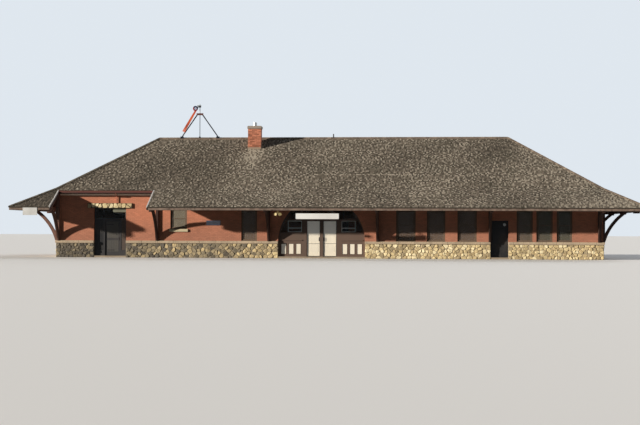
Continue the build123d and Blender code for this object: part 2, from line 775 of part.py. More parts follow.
def brace_face():
    """The curved brace, an arc that leaves the post upwards and flattens towards the eave."""
    root = POST_DEPTH - WALL_SETBACK
    foot = Vector(root - BRACE_DEPTH / 2, CAP_TOP)
    head = Vector(BRACE_REACH, deck_under(BRACE_REACH) - RAFTER_DEPTH / 2)
    chord = head - foot
    normal = Vector(-chord.Y, chord.X).normalized()
    radius = chord.length ** 2 / (8 * BRACE_SAGITTA) + BRACE_SAGITTA / 2
    centre = (foot + head) / 2 + normal * (BRACE_SAGITTA - radius)
    ring = Circle(radius + BRACE_DEPTH / 2) - Circle(radius - BRACE_DEPTH / 2)
    far = BRACE_REACH + RAFTER_DEPTH
    limit = section_face((root, CAP_TOP), (far, CAP_TOP), (far, deck_under(far) - RAFTER_DEPTH),
                         (root, deck_under(root) - RAFTER_DEPTH))
    return (Pos(centre.X, centre.Y) * ring) & limit


def bracket_pieces(face):
    """One piece of every knee bracket round the building."""
    places = {"front": FRONT_BRACKETS, "rear": REAR_BRACKETS, "left": END_BRACKETS,
              "right": END_BRACKETS}
    half = BRACKET_WIDTH / 2
    return [side_run(side, face, place - half, place + half)
            for side, row in places.items() for place in row]


def eave_plate(side, start, end):
    """Timber plate on the bracket toes, up to the underside of the deck."""
    out = PLATE_IN + PLATE_WIDTH
    face = section_face((PLATE_IN, FASCIA_BOTTOM), (out, FASCIA_BOTTOM),
                        (out, deck_under(out)), (PLATE_IN, deck_under(PLATE_IN)))
    return side_run(side, face, start, end) & mitre(side)


def slope(side):
    """One main roof slope from the wall plane to the ridge."""
    _, _, half = SIDES[side]
    run = min(SIDES[side][1], HALF_WIDTH)
    face = section_face((0, deck_under(0)), (0, deck_top(0)),
                        (-run, deck_top(-run)), (-run, deck_under(-run)))
    return side_run(side, face, -half, half) & mitre(side)


def eave_face(reach):
    """Section of the flared eave, with the lip that covers the fascia."""
    if reach < OVERHANG:
        return section_face((0, deck_under(0)), (0, deck_top(0)),
                            (reach, deck_top(reach)), (reach, deck_under(reach)))
    return section_face((0, deck_under(0)), (0, deck_top(0)), (reach, deck_top(reach)),
                        (reach, deck_top(reach) - LIP_DEPTH),
                        (FASCIA_BACK, deck_top(FASCIA_BACK) - LIP_DEPTH),
                        (FASCIA_BACK, deck_under(FASCIA_BACK)))


def fascia_face():
    """Section of the fascia board under the lip."""
    return section_face((FASCIA_BACK, FASCIA_BOTTOM), (FASCIA_FRONT, FASCIA_BOTTOM),
                        (FASCIA_FRONT, deck_top(FASCIA_FRONT) - LIP_DEPTH),
                        (FASCIA_BACK, deck_top(FASCIA_BACK) - LIP_DEPTH))


def round_runs(side):
    """Stretches of the overhang along one side, broken at the freight bay."""
    reach = SIDES[side][2] + OVERHANG
    if side == "front":
        return [(-reach, RECESS_LEFT), (RECESS_RIGHT, reach)]
    return [(-reach, reach)]


def eave_trim(face, sides):
    """A section run along the overhang of the named sides, mitred at the corners."""
    return [side_run(side, face, start, end) & mitre(side)
            for side in sides for start, end in round_runs(side)]


def eave_plates(sides):
    """The eave plates of the named sides."""
    return [eave_plate(side, start, end) for side in sides for start, end in round_runs(side)]


def chimney_block(low, high, grow=0):
    """The chimney's plan, from low to high."""
    half_x, half_y = CHIMNEY_WIDTH / 2 + grow, CHIMNEY_DEPTH / 2 + grow
    return block(CHIMNEY_X - half_x, CHIMNEY_X + half_x, CHIMNEY_Y - half_y, CHIMNEY_Y + half_y,
                 low, high)


def flue_bore():
    """The round hole that the metal flue stands in."""
    low = CHIMNEY_TOP - FLUE_DOWN
    top = CHIMNEY_TOP + CHIMNEY_CAP_HEIGHT + FLUE_UP
    return Pos(CHIMNEY_X, CHIMNEY_Y, (low + top) / 2) * Cylinder(FLUE_RADIUS, top - low)


def chimney():
    """Brick stack from the floor, its concrete cap and the metal flue."""
    bore = flue_bore()
    top = CHIMNEY_TOP + CHIMNEY_CAP_HEIGHT
    cap = chimney_block(CHIMNEY_TOP, top, CHIMNEY_CAP_OUT)
    cap = chamfer(cap.edges().group_by(Axis.Z)[-1], CHIMNEY_CAP_OUT)
    inner = Cylinder(FLUE_RADIUS - FLUE_WALL, 2 * (FLUE_UP + FLUE_DOWN + CHIMNEY_CAP_HEIGHT))
    return {
        "chimney_stack": [chimney_block(FLOOR_TOP, CHIMNEY_TOP) - bore],
        "chimney_cap": [cap - bore],
        "chimney_flue": [bore - Pos(CHIMNEY_X, CHIMNEY_Y, top) * inner],
    }


def barge_board(edge, inward):
    """Trim on a cut edge of the overhang: a side board with a flange over the roof."""
    rise = RIDGE_THICKNESS
    tip = OVERHANG
    board = section_face((STUB_OUT, deck_under(STUB_OUT)), (STUB_OUT, deck_top(STUB_OUT) + rise),
                         (tip, deck_top(tip) + rise), (tip, deck_under(tip)))
    flange = section_face((STUB_OUT, deck_top(STUB_OUT)), (STUB_OUT, deck_top(STUB_OUT) + rise),
                          (tip, deck_top(tip) + rise), (tip, deck_top(tip)))
    side = side_run("front", board, *sorted((edge, edge + inward * BARGE_THICKNESS)))
    return side + side_run("front", flange, *sorted((edge, edge - inward * BARGE_FLANGE)))


def freight_gutter():
    """Box gutter along the stub of the roof, with a thin pipe down to the lintel."""
    top = deck_top(STUB_OUT) - GUTTER_DROP
    low, out = top - GUTTER_DEPTH, STUB_OUT + GUTTER_WIDTH
    outer = section_face((STUB_OUT, low), (out - 2 * GUTTER_WALL, low), (out, top), (STUB_OUT, top))
    inner = section_face((STUB_OUT + GUTTER_WALL, low + GUTTER_WALL),
                         (out - 4 * GUTTER_WALL, low + GUTTER_WALL),
                         (out - GUTTER_WALL, top + 1), (STUB_OUT + GUTTER_WALL, top + 1))
    trough = side_run("front", outer - inner, RECESS_LEFT + BARGE_THICKNESS, RECESS_RIGHT - BARGE_THICKNESS)
    for end in (RECESS_LEFT + BARGE_THICKNESS, RECESS_RIGHT - BARGE_THICKNESS - GUTTER_WALL):
        trough += side_run("front", outer, end, end + GUTTER_WALL)
    return [trough]


def downpipe():
    """Thin pipe from the gutter back to the wall and down to the lintel."""
    gutter_low = deck_top(STUB_OUT) - GUTTER_DROP - GUTTER_DEPTH
    lintel_top = FREIGHT_HEAD + LINTEL_HEIGHT
    out = DOWNPIPE_RADIUS - WALL_SETBACK + FRIEZE_THICKNESS
    y_wall, y_gutter = -HALF_WIDTH - out, -HALF_WIDTH - STUB_OUT - GUTTER_WIDTH / 2
    neck = gutter_low - 2 * DOWNPIPE_RADIUS
    path = FilletPolyline((DOWNPIPE_X, y_gutter, gutter_low), (DOWNPIPE_X, y_gutter, neck),
                          (DOWNPIPE_X, y_wall, neck - (y_wall - y_gutter) / 2),
                          (DOWNPIPE_X, y_wall, lintel_top), radius=DOWNPIPE_RADIUS * 1.2)
    start = Plane(origin=(DOWNPIPE_X, y_gutter, gutter_low), z_dir=(0, 0, -1))
    return [sweep(start * Circle(DOWNPIPE_RADIUS), path=path)]


def frieze():
    """Pale moulding on the wall under the stub of the roof."""
    left, right = RECESS_LEFT + BARGE_THICKNESS, RECESS_RIGHT - BARGE_THICKNESS
    low = FRIEZE_TOP - FRIEZE_HEIGHT
    face = section_face((-WALL_SETBACK, low), (FRIEZE_THICKNESS / 2 - WALL_SETBACK, low),
                        (FRIEZE_THICKNESS - WALL_SETBACK, FRIEZE_TOP), (-WALL_SETBACK, FRIEZE_TOP))
    return [side_run("front", face, left, right)]


def ridge_profile(rise):
    """The ridge in section: a strip over both slopes, rise thick, on the deck."""
    leg = RIDGE_LEG
    drop = leg * MAIN_PITCH
    return section_face((0, RIDGE_Z + rise), (leg, RIDGE_Z - drop + rise), (leg, RIDGE_Z - drop),
                        (0, RIDGE_Z), (-leg, RIDGE_Z - drop), (-leg, RIDGE_Z - drop + rise))


def ridge_cap():
    """Saddle strip along the ridge."""
    half = HALF_LENGTH - HALF_WIDTH
    return [extrude(Plane.YZ * ridge_profile(RIDGE_THICKNESS), half, both=True)]


def on_ridge(x, length, width, height):
    """A block that straddles the ridge cap, cut to its slopes."""
    top = RIDGE_Z + RIDGE_THICKNESS
    lump = block(x - length / 2, x + length / 2, -width / 2, width / 2, top - width, top + height)
    under = section_face((0, top), (width, top - width * MAIN_PITCH), (width, top - 2 * width),
                         (-width, top - 2 * width), (-width, top - width * MAIN_PITCH))
    return lump - Pos(x - length, 0, 0) * extrude(Plane.YZ * under, 2 * length)


def rod(start, end, radius):
    """A round bar between two points."""
    line = Vector(*end) - Vector(*start)
    return Solid.extrude(Face(Wire.make_circle(radius, Plane(origin=start, z_dir=line))), line)


def signal_frame():
    """A-frame and mast on the ridge, with the bearing block and pin of the arm."""
    top = RIDGE_Z + RIDGE_THICKNESS + FOOT_HEIGHT / 2
    frame = block(SIGNAL_X - SIGNAL_BAR_HALF, SIGNAL_X + SIGNAL_BAR_HALF,
                  -SIGNAL_BAR_SIZE / 2, SIGNAL_BAR_SIZE / 2,
                  SIGNAL_BAR_Z - SIGNAL_BAR_SIZE / 2, SIGNAL_BAR_Z + SIGNAL_BAR_SIZE / 2)
    for foot, way in ((SIGNAL_X - SIGNAL_LEFT_SPREAD, -1), (SIGNAL_X + SIGNAL_RIGHT_SPREAD, 1)):
        frame += on_ridge(foot, FOOT_LENGTH, FOOT_WIDTH, FOOT_HEIGHT)
        frame += rod((foot, 0, top), (SIGNAL_X + way * SIGNAL_BAR_HALF * 0.8, 0, SIGNAL_BAR_Z), LEG_RADIUS)
    frame += on_ridge(SIGNAL_X, FOOT_LENGTH / 2, FOOT_WIDTH / 2, FOOT_HEIGHT)
    frame += rod((SIGNAL_X, 0, top), (SIGNAL_X, 0, SIGNAL_TOP), MAST_RADIUS)
    frame += block(ARM_X - ARM_BLOCK_HALF, SIGNAL_X + ARM_BLOCK_HALF, -ARM_BLOCK_DEPTH / 2,
                   ARM_BLOCK_DEPTH / 2, ARM_Z - ARM_BLOCK_HALF, ARM_Z + ARM_BLOCK_HALF)
    hub_back = -ARM_BLOCK_DEPTH / 2 - SEAM
    head = hub_back - ARM_HUB_LENGTH - SEAM
    frame += rod((ARM_X, 0, ARM_Z), (ARM_X, head, ARM_Z), ARM_PIN_RADIUS)
    frame += rod((ARM_X, head, ARM_Z), (ARM_X, head - ARM_PLATE, ARM_Z), ARM_PIN_RADIUS * 2)
    return [frame]


def signal_arm():
    """Drooping semaphore arm: hub, spectacle ring and blade that widens to its end."""
    hub = Circle(ARM_HUB_RADIUS + ARM_HUB_FLANGE)
    ring = Pos(*SPECTACLE_AT) * Circle(SPECTACLE_RADIUS)
    blade = section_face((0, ARM_ROOT / 2), (-ARM_ROOT_AT, ARM_ROOT / 2), (-ARM_LENGTH, ARM_TIP / 2),
                         (-ARM_LENGTH, -ARM_TIP / 2), (-ARM_ROOT_AT, -ARM_ROOT / 2),
                         (0, -ARM_ROOT / 2))
    hole = Pos(*SPECTACLE_AT) * Circle(SPECTACLE_HOLE)
    outline = hub + ring + blade - hole
    hub_front = -ARM_BLOCK_DEPTH / 2 - SEAM - ARM_HUB_LENGTH
    plate_y = hub_front + ARM_PLATE
    plate = Pos(0, plate_y, 0) * extrude(Plane.XZ * outline, ARM_PLATE)
    boss = rod((0, hub_front, 0), (0, hub_front + ARM_HUB_LENGTH, 0), ARM_HUB_RADIUS)
    bore = rod((0, hub_front - 1, 0), (0, hub_front + ARM_HUB_LENGTH + 1, 0),
               ARM_PIN_RADIUS + PIN_CLEARANCE)
    arm = (plate + boss) - bore
    return [Pos(ARM_X, 0, ARM_Z) * Rot(0, -ARM_DROOP, 0) * arm]


def ridge_vent():
    """Short vent pipe on the ridge."""
    top = RIDGE_Z + RIDGE_THICKNESS + VENT_HEIGHT
    vent = on_ridge(VENT_X, 3 * VENT_RADIUS, 3 * VENT_RADIUS, VENT_RADIUS / 2)
    return [vent + rod((VENT_X, 0, top - VENT_HEIGHT), (VENT_X, 0, top), VENT_RADIUS)]


def name_board():
    """Bare board hung under the front eave on two straps."""
    out = FASCIA_BACK - NAME_BOARD_THICKNESS
    board = side_block("front", NAME_BOARD_LEFT, NAME_BOARD_RIGHT, out, FASCIA_BACK,
                       NAME_BOARD_LOW, NAME_BOARD_HIGH)
    face = section_face((out, NAME_BOARD_HIGH), (FASCIA_BACK, NAME_BOARD_HIGH),
                        (FASCIA_BACK, deck_under(FASCIA_BACK)), (out, deck_under(out)))
    for x in (NAME_BOARD_LEFT + NAME_BOARD_INSET, NAME_BOARD_RIGHT - NAME_BOARD_INSET):
        board += side_run("front", face, x - NAME_BOARD_HANGER / 2, x + NAME_BOARD_HANGER / 2)
    return [board]


def notice_board():
    """Bare board on the front fascia near the left corner."""
    return [side_block("front", NOTICE_LEFT, NOTICE_RIGHT, FASCIA_FRONT,
                       FASCIA_FRONT + NOTICE_THICKNESS, NOTICE_LOW, NOTICE_HIGH)]


def wall_board():
    """Bare board on the front wall."""
    left, right = opening_edges(1.5, WALL_BOARD_SHIFT, WALL_BOARD_LENGTH)
    return [side_block("front", left, right, -WALL_SETBACK, WALL_BOARD_THICKNESS - WALL_SETBACK,
                       WALL_BOARD_LOW, WALL_BOARD_HIGH)]


def twin_lamp():
    """Twin floodlight on a stem under the front eave."""
    out = FASCIA_BACK - NAME_BOARD_THICKNESS
    y = -HALF_WIDTH - out
    stem = rod((LAMP_X, y, LAMP_Z), (LAMP_X, y, deck_under(out) - LAMP_STEM_RADIUS), LAMP_STEM_RADIUS)
    stem += block(LAMP_X - LAMP_SPREAD, LAMP_X + LAMP_SPREAD, y - LAMP_STEM_RADIUS,
                  y + LAMP_STEM_RADIUS, LAMP_Z - LAMP_STEM_RADIUS, LAMP_Z + LAMP_STEM_RADIUS)
    pad = section_face((out - 2 * LAMP_STEM_RADIUS, deck_under(out - 2 * LAMP_STEM_RADIUS)),
                       (out + 2 * LAMP_STEM_RADIUS, deck_under(out + 2 * LAMP_STEM_RADIUS)),
                       (out + 2 * LAMP_STEM_RADIUS, deck_under(out) - 3 * LAMP_STEM_RADIUS),
                       (out - 2 * LAMP_STEM_RADIUS, deck_under(out) - 3 * LAMP_STEM_RADIUS))
    stem += side_run("front", pad, LAMP_X - 2 * LAMP_STEM_RADIUS, LAMP_X + 2 * LAMP_STEM_RADIUS)
    for way in (-1, 1):
        head = Cone(LAMP_STEM_RADIUS * 2, LAMP_RADIUS, LAMP_LENGTH)
        place = Pos(LAMP_X + way * LAMP_SPREAD, y, LAMP_Z) * Rot(90, 0, way * 20)
        stem += place * head
    return [stem]


def build_nodes():
    """Every node of the station by name."""
    space = under_roof()
    nodes = {
        "floor_slab": floor_slab(),
        "stone_base": courses(0, BASE_TOP, 0),
        "base_cap": courses(BASE_TOP, CAP_TOP, CAP_OUT),
        "door_sills": door_sills(),
        "rear_wall": rear_wall(space),
        "end_walls": end_walls(space),
        "freight_lintel": [lintel_block()],
        "window_sills": sills(),
        "window_frames": [window_frame(side, w) for side, w in all_windows()],
        "window_glass": [window_pane(side, w) for side, w in all_windows()],
        "window_blinds": [window_blind(side, w) for side, w in all_windows()],
        "entrance_screen": entrance_screen(),
        "entrance_glass": entrance_glass(),
        "freight_screen": freight_screen(),
        "freight_glass": freight_glass(),
        "freight_door_leaf": freight_leaf(),
        "rear_doors": rear_doors(),
        "bracket_posts": bracket_pieces(post_face()),
        "bracket_outriggers": bracket_pieces(outrigger_face()),
        "bracket_braces": bracket_pieces(brace_face()),
        "eave_plates_long": eave_plates(("front", "rear")),
        "eave_plates_end": eave_plates(("left", "right")),
        "roof_front_slope": [slope("front") - chimney_block(0, CHIMNEY_TOP)],
        "roof_rear_slope": [slope("rear")],
        "roof_hips": [slope("left"), slope("right")],
        "eave_front": eave_trim(eave_face(OVERHANG), ("front",)),
        "eave_rear": eave_trim(eave_face(OVERHANG), ("rear",)),
        "eave_ends": eave_trim(eave_face(OVERHANG), ("left", "right")),
        "eave_stub": [side_run("front", eave_face(STUB_OUT), RECESS_LEFT, RECESS_RIGHT)],
        "fascia_long": eave_trim(fascia_face(), ("front", "rear")),
        "fascia_end": eave_trim(fascia_face(), ("left", "right")),
        "barge_boards": [barge_board(RECESS_LEFT, 1), barge_board(RECESS_RIGHT, -1)],
        "freight_gutter": freight_gutter(),
        "gutter_downpipe": downpipe(),
        "freight_frieze": frieze(),
        "ridge_cap": ridge_cap(),
        "ridge_vent": ridge_vent(),
        "signal_frame": signal_frame(),
        "signal_arm": signal_arm(),
        "name_board": name_board(),
        "notice_board": notice_board(),
        "wall_board": wall_board(),
        "twin_lamp": twin_lamp(),
    }
    nodes.update(front_walls(space))
    nodes.update(entrance_leaves())
    nodes.update(side_door())
    nodes.update(chimney())
    return nodes


def write_nodes(nodes):
    """Write one STEP file for each node."""
    os.makedirs("parts", exist_ok=True)
    for name, shapes in nodes.items():
        solids = [solid for shape in shapes for solid in shape.solids()]
        whole = solids[0] if len(solids) == 1 else Compound(solids)
        export_step(whole, f"parts/{name}.step")


write_nodes(build_nodes())
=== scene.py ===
"""Looks of the railway station: shakes, fieldstone, brick, joinery and their finishes."""
import json
import logging
import math
from contextlib import contextmanager
from dataclasses import dataclass, field
from enum import Enum
from functools import cache
from typing import Callable, Iterator

import bmesh
import bpy
import numpy as np
from mathutils import Matrix, Vector

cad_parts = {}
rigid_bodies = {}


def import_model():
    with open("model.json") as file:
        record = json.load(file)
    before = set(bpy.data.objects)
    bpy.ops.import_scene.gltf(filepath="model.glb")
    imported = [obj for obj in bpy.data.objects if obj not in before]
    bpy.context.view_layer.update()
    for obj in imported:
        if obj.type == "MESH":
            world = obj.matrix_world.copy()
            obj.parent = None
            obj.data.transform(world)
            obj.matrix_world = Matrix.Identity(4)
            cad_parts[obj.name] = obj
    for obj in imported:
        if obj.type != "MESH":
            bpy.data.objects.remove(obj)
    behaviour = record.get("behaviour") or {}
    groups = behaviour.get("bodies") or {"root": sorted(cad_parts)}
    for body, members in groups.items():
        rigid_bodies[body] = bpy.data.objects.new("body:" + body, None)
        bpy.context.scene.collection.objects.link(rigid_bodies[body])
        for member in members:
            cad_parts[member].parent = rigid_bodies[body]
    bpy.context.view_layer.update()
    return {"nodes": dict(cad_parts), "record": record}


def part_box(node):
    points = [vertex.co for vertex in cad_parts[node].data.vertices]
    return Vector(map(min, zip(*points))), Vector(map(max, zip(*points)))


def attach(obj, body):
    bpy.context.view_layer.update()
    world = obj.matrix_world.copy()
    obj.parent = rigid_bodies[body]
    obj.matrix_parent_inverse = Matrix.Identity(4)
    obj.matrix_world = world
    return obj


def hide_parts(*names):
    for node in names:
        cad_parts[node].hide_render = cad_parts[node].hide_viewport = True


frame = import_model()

LOG = logging.getLogger("station")
Array = np.ndarray
EditMesh = bmesh.types.BMesh
Material = bpy.types.Material
Node = bpy.types.Node
Socket = bpy.types.NodeSocket
Thing = bpy.types.Object
Tree = bpy.types.NodeTree
Triple = tuple[float, float, float]
Colour = Triple
Pair = tuple[float, float]
Rect = tuple[float, float, float, float]
Box = tuple[Vector, Vector]
Stops = tuple[tuple[float, Colour], ...]
Rows = tuple[tuple[float, ...], ...]

SEED = 1907
BEVEL_SHARE = 0.1
BRICK_PITCH = (0.225, 0.075)
DEEPEST_FRAME = 0.6
FAR = 50.0
FORWARD = Vector((0, -1, 0))
UP = Vector((0, 0, 1))


def dice(step: int) -> np.random.Generator:
    """Random numbers of their own for one kind of piece."""
    return np.random.default_rng(SEED + step)


def about(middle: float, half: float) -> Pair:
    """A stretch that reaches as far to both sides of its middle."""
    return middle - half, middle + half


def beside(middle: float, way: int, near: float, far: float) -> Pair:
    """A stretch on one side of a middle, between two distances from it."""
    left, right = sorted((middle + way * near, middle + way * far))
    return left, right


def between(cuts: list[Pair], half: float) -> list[Pair]:
    """Find the stretches of a side that no cut takes.

    Args:
        cuts: Start and end of each cut.
        half: Half the length of the side.

    Returns:
        Start and end of each stretch.
    """
    stretches, start = [], -half
    for left, right in sorted(cuts):
        if left > start:
            stretches.append((start, left))
        start = max(start, right)
    return stretches + [(start, half)]


class Side(Enum):
    """A side of the building, by the turn of its outward direction from the front's."""

    FRONT = 0
    RIGHT = 90
    REAR = 180
    LEFT = 270

    @property
    def long(self) -> bool:
        """Whether it is the front or the rear."""
        return self in (Side.FRONT, Side.REAR)


@dataclass(frozen=True)
class Elevation:
    """One upright face, with places given as run along it, way out of it and height.

    The run is counted to the right, as someone who faces that side sees it.
    """

    side: Side
    distance: float
    half: float
    centre: Pair = (0.0, 0.0)

    @property
    def label(self) -> str:
        """The side's name in small letters."""
        return self.side.name.lower()

    @property
    def turn(self) -> Pair:
        """Cosine and sine of the side's turn."""
        angle = math.radians(self.side.value)
        return math.cos(angle), math.sin(angle)

    def place(self, run: Array, out: Array, z: Array) -> Array:
        """Turn places on this side into points of the building's frame.

        Args:
            run: Distance along the side from its middle.
            out: Distance outside the wall plane.
            z: Height.

        Returns:
            The points, with x, y and z on the last axis.
        """
        cosine, sine = self.turn
        reach = out + self.distance
        x = self.centre[0] + run * cosine + reach * sine
        y = self.centre[1] + run * sine - reach * cosine
        return np.stack(np.broadcast_arrays(x, y, z), axis=-1)

    def outs(self, box: Box) -> Pair:
        """Find how far outside the wall plane a solid starts and ends.

        Args:
            box: Lowest and highest corner of the solid.

        Returns:
            Its nearest and its farthest distance.
        """
        cosine, sine = self.turn
        near, far = sorted(p.x * sine - p.y * cosine - self.distance for p in box)
        return near, far

    def span(self, box: Box) -> Rect | None:
        """Give a solid's run, low and high place on this side.

        Args:
            box: Lowest and highest corner of the solid.

        Returns:
            Left, right, bottom and top, or None where the solid is on another side.
        """
        cosine, sine = self.turn
        left, right = sorted(p.x * cosine + p.y * sine for p in box)
        if self.outs(box)[0] < -DEEPEST_FRAME:
            return None
        return left, right, box[0].z, box[1].z


@dataclass(frozen=True)
class Station:
    """Main sizes of the station in metres, read from its solids."""

    half_length: float
    half_width: float
    base_top: float
    cap_top: float
    break_z: float
    ridge_z: float
    overhang: float
    eave_z: float = 2.875
    wall_set: float = 0.03
    deck: float = 0.19
    recess: Pair = (-15.40, -9.85)
    stub: float = 0.25

    @classmethod
    def measure(cls) -> "Station":
        """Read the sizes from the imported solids.

        Returns:
            The station's sizes.
        """
        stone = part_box("stone_base")[1]
        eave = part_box("eave_front")
        return cls(
            half_length=stone.x, half_width=stone.y, base_top=stone.z,
            cap_top=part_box("base_cap")[1].z, break_z=eave[1].z,
            ridge_z=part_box("roof_front_slope")[1].z, overhang=-eave[0].y - stone.y,
        )

    @property
    def pitch(self) -> float:
        """Rise of the upper slopes for each metre inwards."""
        return (self.ridge_z - self.break_z) / self.half_width

    @property
    def eave_pitch(self) -> float:
        """Rise of the flared eaves for each metre inwards."""
        return (self.break_z - self.eave_z) / self.overhang

    @property
    def eave_slope(self) -> float:
        """Length of the flared eave along its slope."""
        return math.hypot(self.overhang, self.break_z - self.eave_z)

    @property
    def slope_length(self) -> float:
        """Length of the slope from the eave's edge to the ridge."""
        return self.eave_slope + math.hypot(self.half_width, self.ridge_z - self.break_z)

    @property
    def walls(self) -> list[Elevation]:
        """The walls at the front, the right, the rear and the left."""
        sizes = (self.half_width, self.half_length)
        return [Elevation(side, *(sizes if side.long else sizes[::-1])) for side in Side]

    @property
    def front(self) -> Elevation:
        """The front wall."""
        return self.walls[0]

    def deck_top(self, out: Array) -> Array:
        """Height of the roof deck at a distance outside the wall plane."""
        return self.break_z - out * np.where(np.asarray(out) > 0, self.eave_pitch, self.pitch)

    def out_at(self, slope: Array) -> Array:
        """Find where a way up the slope from the eave's edge comes to.

        Args:
            slope: The way up the slope.

        Returns:
            Distance outside the wall plane.
        """
        eave = self.eave_slope
        low = self.overhang * (1 - slope / eave)
        high = -self.half_width * (slope - eave) / (self.slope_length - eave)
        return np.where(slope < eave, low, high)


@cache
def solids(node: str) -> list[Box]:
    """Find the separate solids of a CAD node.

    Args:
        node: The node's name.

    Returns:
        Lowest and highest corner of each solid, sorted.
    """
    mesh = frame["nodes"][node].data
    points = np.array([v.co for v in mesh.vertices]).round(4)
    _, ids = np.unique(points, axis=0, return_inverse=True)
    ids = ids.ravel()
    group = np.arange(ids.max() + 1)
    corners = np.array([[ids[i] for i in face.vertices[:3]] for face in mesh.polygons])
    changed = True
    while changed:
        lowest = group[corners].min(axis=1)
        before = group.copy()
        for column in range(3):
            np.minimum.at(group, corners[:, column], lowest)
        changed = bool((group != before).any())
    found = []
    for label in np.unique(group):
        own = points[group[ids] == label]
        found.append((Vector(own.min(axis=0)), Vector(own.max(axis=0))))
    return sorted(found, key=lambda box: tuple(box[0]))


@contextmanager
def editing(obj: Thing) -> Iterator[EditMesh]:
    """Hold an object in edit mode with its faces deselected.

    Args:
        obj: The mesh object.

    Yields:
        Its edit mesh.
    """
    bpy.ops.object.select_all(action="DESELECT")
    bpy.context.view_layer.objects.active = obj
    obj.select_set(True)
    bpy.ops.object.mode_set(mode="EDIT")
    bpy.ops.mesh.select_mode(type="FACE")
    bpy.ops.mesh.select_all(action="DESELECT")
    yield bmesh.from_edit_mesh(obj.data)
    bpy.ops.object.mode_set(mode="OBJECT")


def select_facing(work: EditMesh, *ways: Vector) -> None:
    """Select the faces that look one of some ways."""
    for face in work.faces:
        face.select_set(any(face.normal.dot(way) > 0.5 for way in ways))


def added(add: Callable, **settings: object) -> Thing:
    """Add a primitive with nothing else selected, and put its place in its mesh.

    Args:
        add: The operator that adds it.
        **settings: The operator's settings.

    Returns:
        The new object.
    """
    bpy.ops.object.select_all(action="DESELECT")
    add(**settings)
    bpy.ops.object.transform_apply(location=True, rotation=True, scale=True)
    return bpy.context.object


def cube(place: Triple = (0.5, 0.5, 0.5), scale: Triple = (1, 1, 1)) -> Thing:
    """Add a cube, by default one from 0 to 1 on each axis."""
    return added(bpy.ops.mesh.primitive_cube_add, size=1, location=place, scale=scale)


def drum(back: Vector, way: Vector, radius: float, depth: float, sides: int) -> Thing:
    """Add a drum that stands on a point and reaches along a unit direction."""
    return added(bpy.ops.mesh.primitive_cylinder_add, vertices=sides, radius=radius, depth=depth,
                 location=back + way * depth / 2, rotation=way.to_track_quat("Z", "Y").to_euler())


@dataclass
class Pattern:
    """A small shape modelled once and held as arrays, so that it can be copied many times."""

    points: Array
    corners: Array
    counts: Array

    @classmethod
    def take(cls, obj: Thing) -> "Pattern":
        """Read a modelled object's mesh and remove the object.

        Args:
            obj: The object.

        Returns:
            Its shape.
        """
        mesh = obj.data
        points = np.array([v.co for v in mesh.vertices], float)
        corners = np.array([i for face in mesh.polygons for i in face.vertices])
        counts = np.array([len(face.vertices) for face in mesh.polygons])
        bpy.data.objects.remove(obj)
        return cls(points, corners, counts)

    @property
    def axes(self) -> Array:
        """Its x, y and z, each as one row that goes with a column of copies."""
        return self.points.T[:, None, :]

    def copies(self, name: str, places: Array, **values: Array) -> Thing:
        """Join copies of the shape into one mesh object.

        Args:
            name: Name of the new piece.
            places: The points of every copy, as copies x points x 3.
            **values: Numbers kept as attributes, one for each copy or each of its points.

        Returns:
            The new object.
        """
        number, size = places.shape[0], len(self.points)
        mesh = bpy.data.meshes.new(name)
        mesh.vertices.add(number * size)
        mesh.vertices.foreach_set("co", places.astype(np.float32).ravel())
        loops = self.corners[None, :] + size * np.arange(number)[:, None]
        mesh.loops.add(loops.size)
        mesh.loops.foreach_set("vertex_index", loops.ravel().astype(np.int32))
        counts = np.tile(self.counts, number)
        mesh.polygons.add(len(counts))
        starts = np.concatenate([[0], np.cumsum(counts)[:-1]])
        mesh.polygons.foreach_set("loop_start", starts.astype(np.int32))
        mesh.update(calc_edges=True)
        mesh.shade_flat()
        for label, numbers in values.items():
            spread = numbers if numbers.ndim == 2 else np.repeat(numbers[:, None], size, axis=1)
            attribute = mesh.attributes.new(label, "FLOAT", "POINT")
            attribute.data.foreach_set("value", spread.astype(np.float32).ravel())
        obj = bpy.data.objects.new(name, mesh)
        bpy.context.scene.collection.objects.link(obj)
        return obj


@cache
def board_pattern() -> Pattern:
    """Model a board with chamfered edges, whose bevel is a share of its unit size.

    Returns:
        The board.
    """
    obj = cube()
    with editing(obj):
        bpy.ops.mesh.select_all(action="SELECT")
        bpy.ops.mesh.bevel(offset=BEVEL_SHARE, segments=1, affect="EDGES")
    return Pattern.take(obj)


@cache
def brick_pattern() -> Pattern:
    """Model a brick from 0 to 1 on each axis, a little smaller at its face than at its back.

    Returns:
        The brick.
    """
    obj = cube()
    with editing(obj) as work:
        select_facing(work, FORWARD)
        bpy.ops.transform.resize(value=(0.985, 1, 0.95))
    return Pattern.take(obj)


@cache
def shake_pattern() -> Pattern:
    """Model a split shake: its butt at y 0 is thick, its head at y 1 is thin and narrower.

    Its underside and its head are open, because the deck and the next course cover them.

    Returns:
        The shake.
    """
    obj = cube()
    with editing(obj) as work:
        select_facing(work, -FORWARD)
        bpy.ops.transform.resize(value=(0.92, 1, 0.3))
        for vertex in work.verts:
            if vertex.co.y > 0.5:
                vertex.co.z -= 0.35
        select_facing(work, -FORWARD, -UP)
        bpy.ops.mesh.delete(type="FACE")
    return Pattern.take(obj)


@cache
def saddle_pattern() -> Pattern:
    """Model a cap shake: two boards that meet along x 0, from y 0 to 1, thick at y 0.

    Returns:
        The cap shake.
    """
    obj = cube((0, 0.5, 0.5), (2, 1, 1))
    with editing(obj) as work:
        bpy.ops.mesh.select_all(action="SELECT")
        bpy.ops.mesh.bisect(plane_co=(0, 0, 0), plane_no=(1, 0, 0))
        select_facing(work, -FORWARD)
        bpy.ops.transform.resize(value=(0.9, 1, 0.4))
    return Pattern.take(obj)


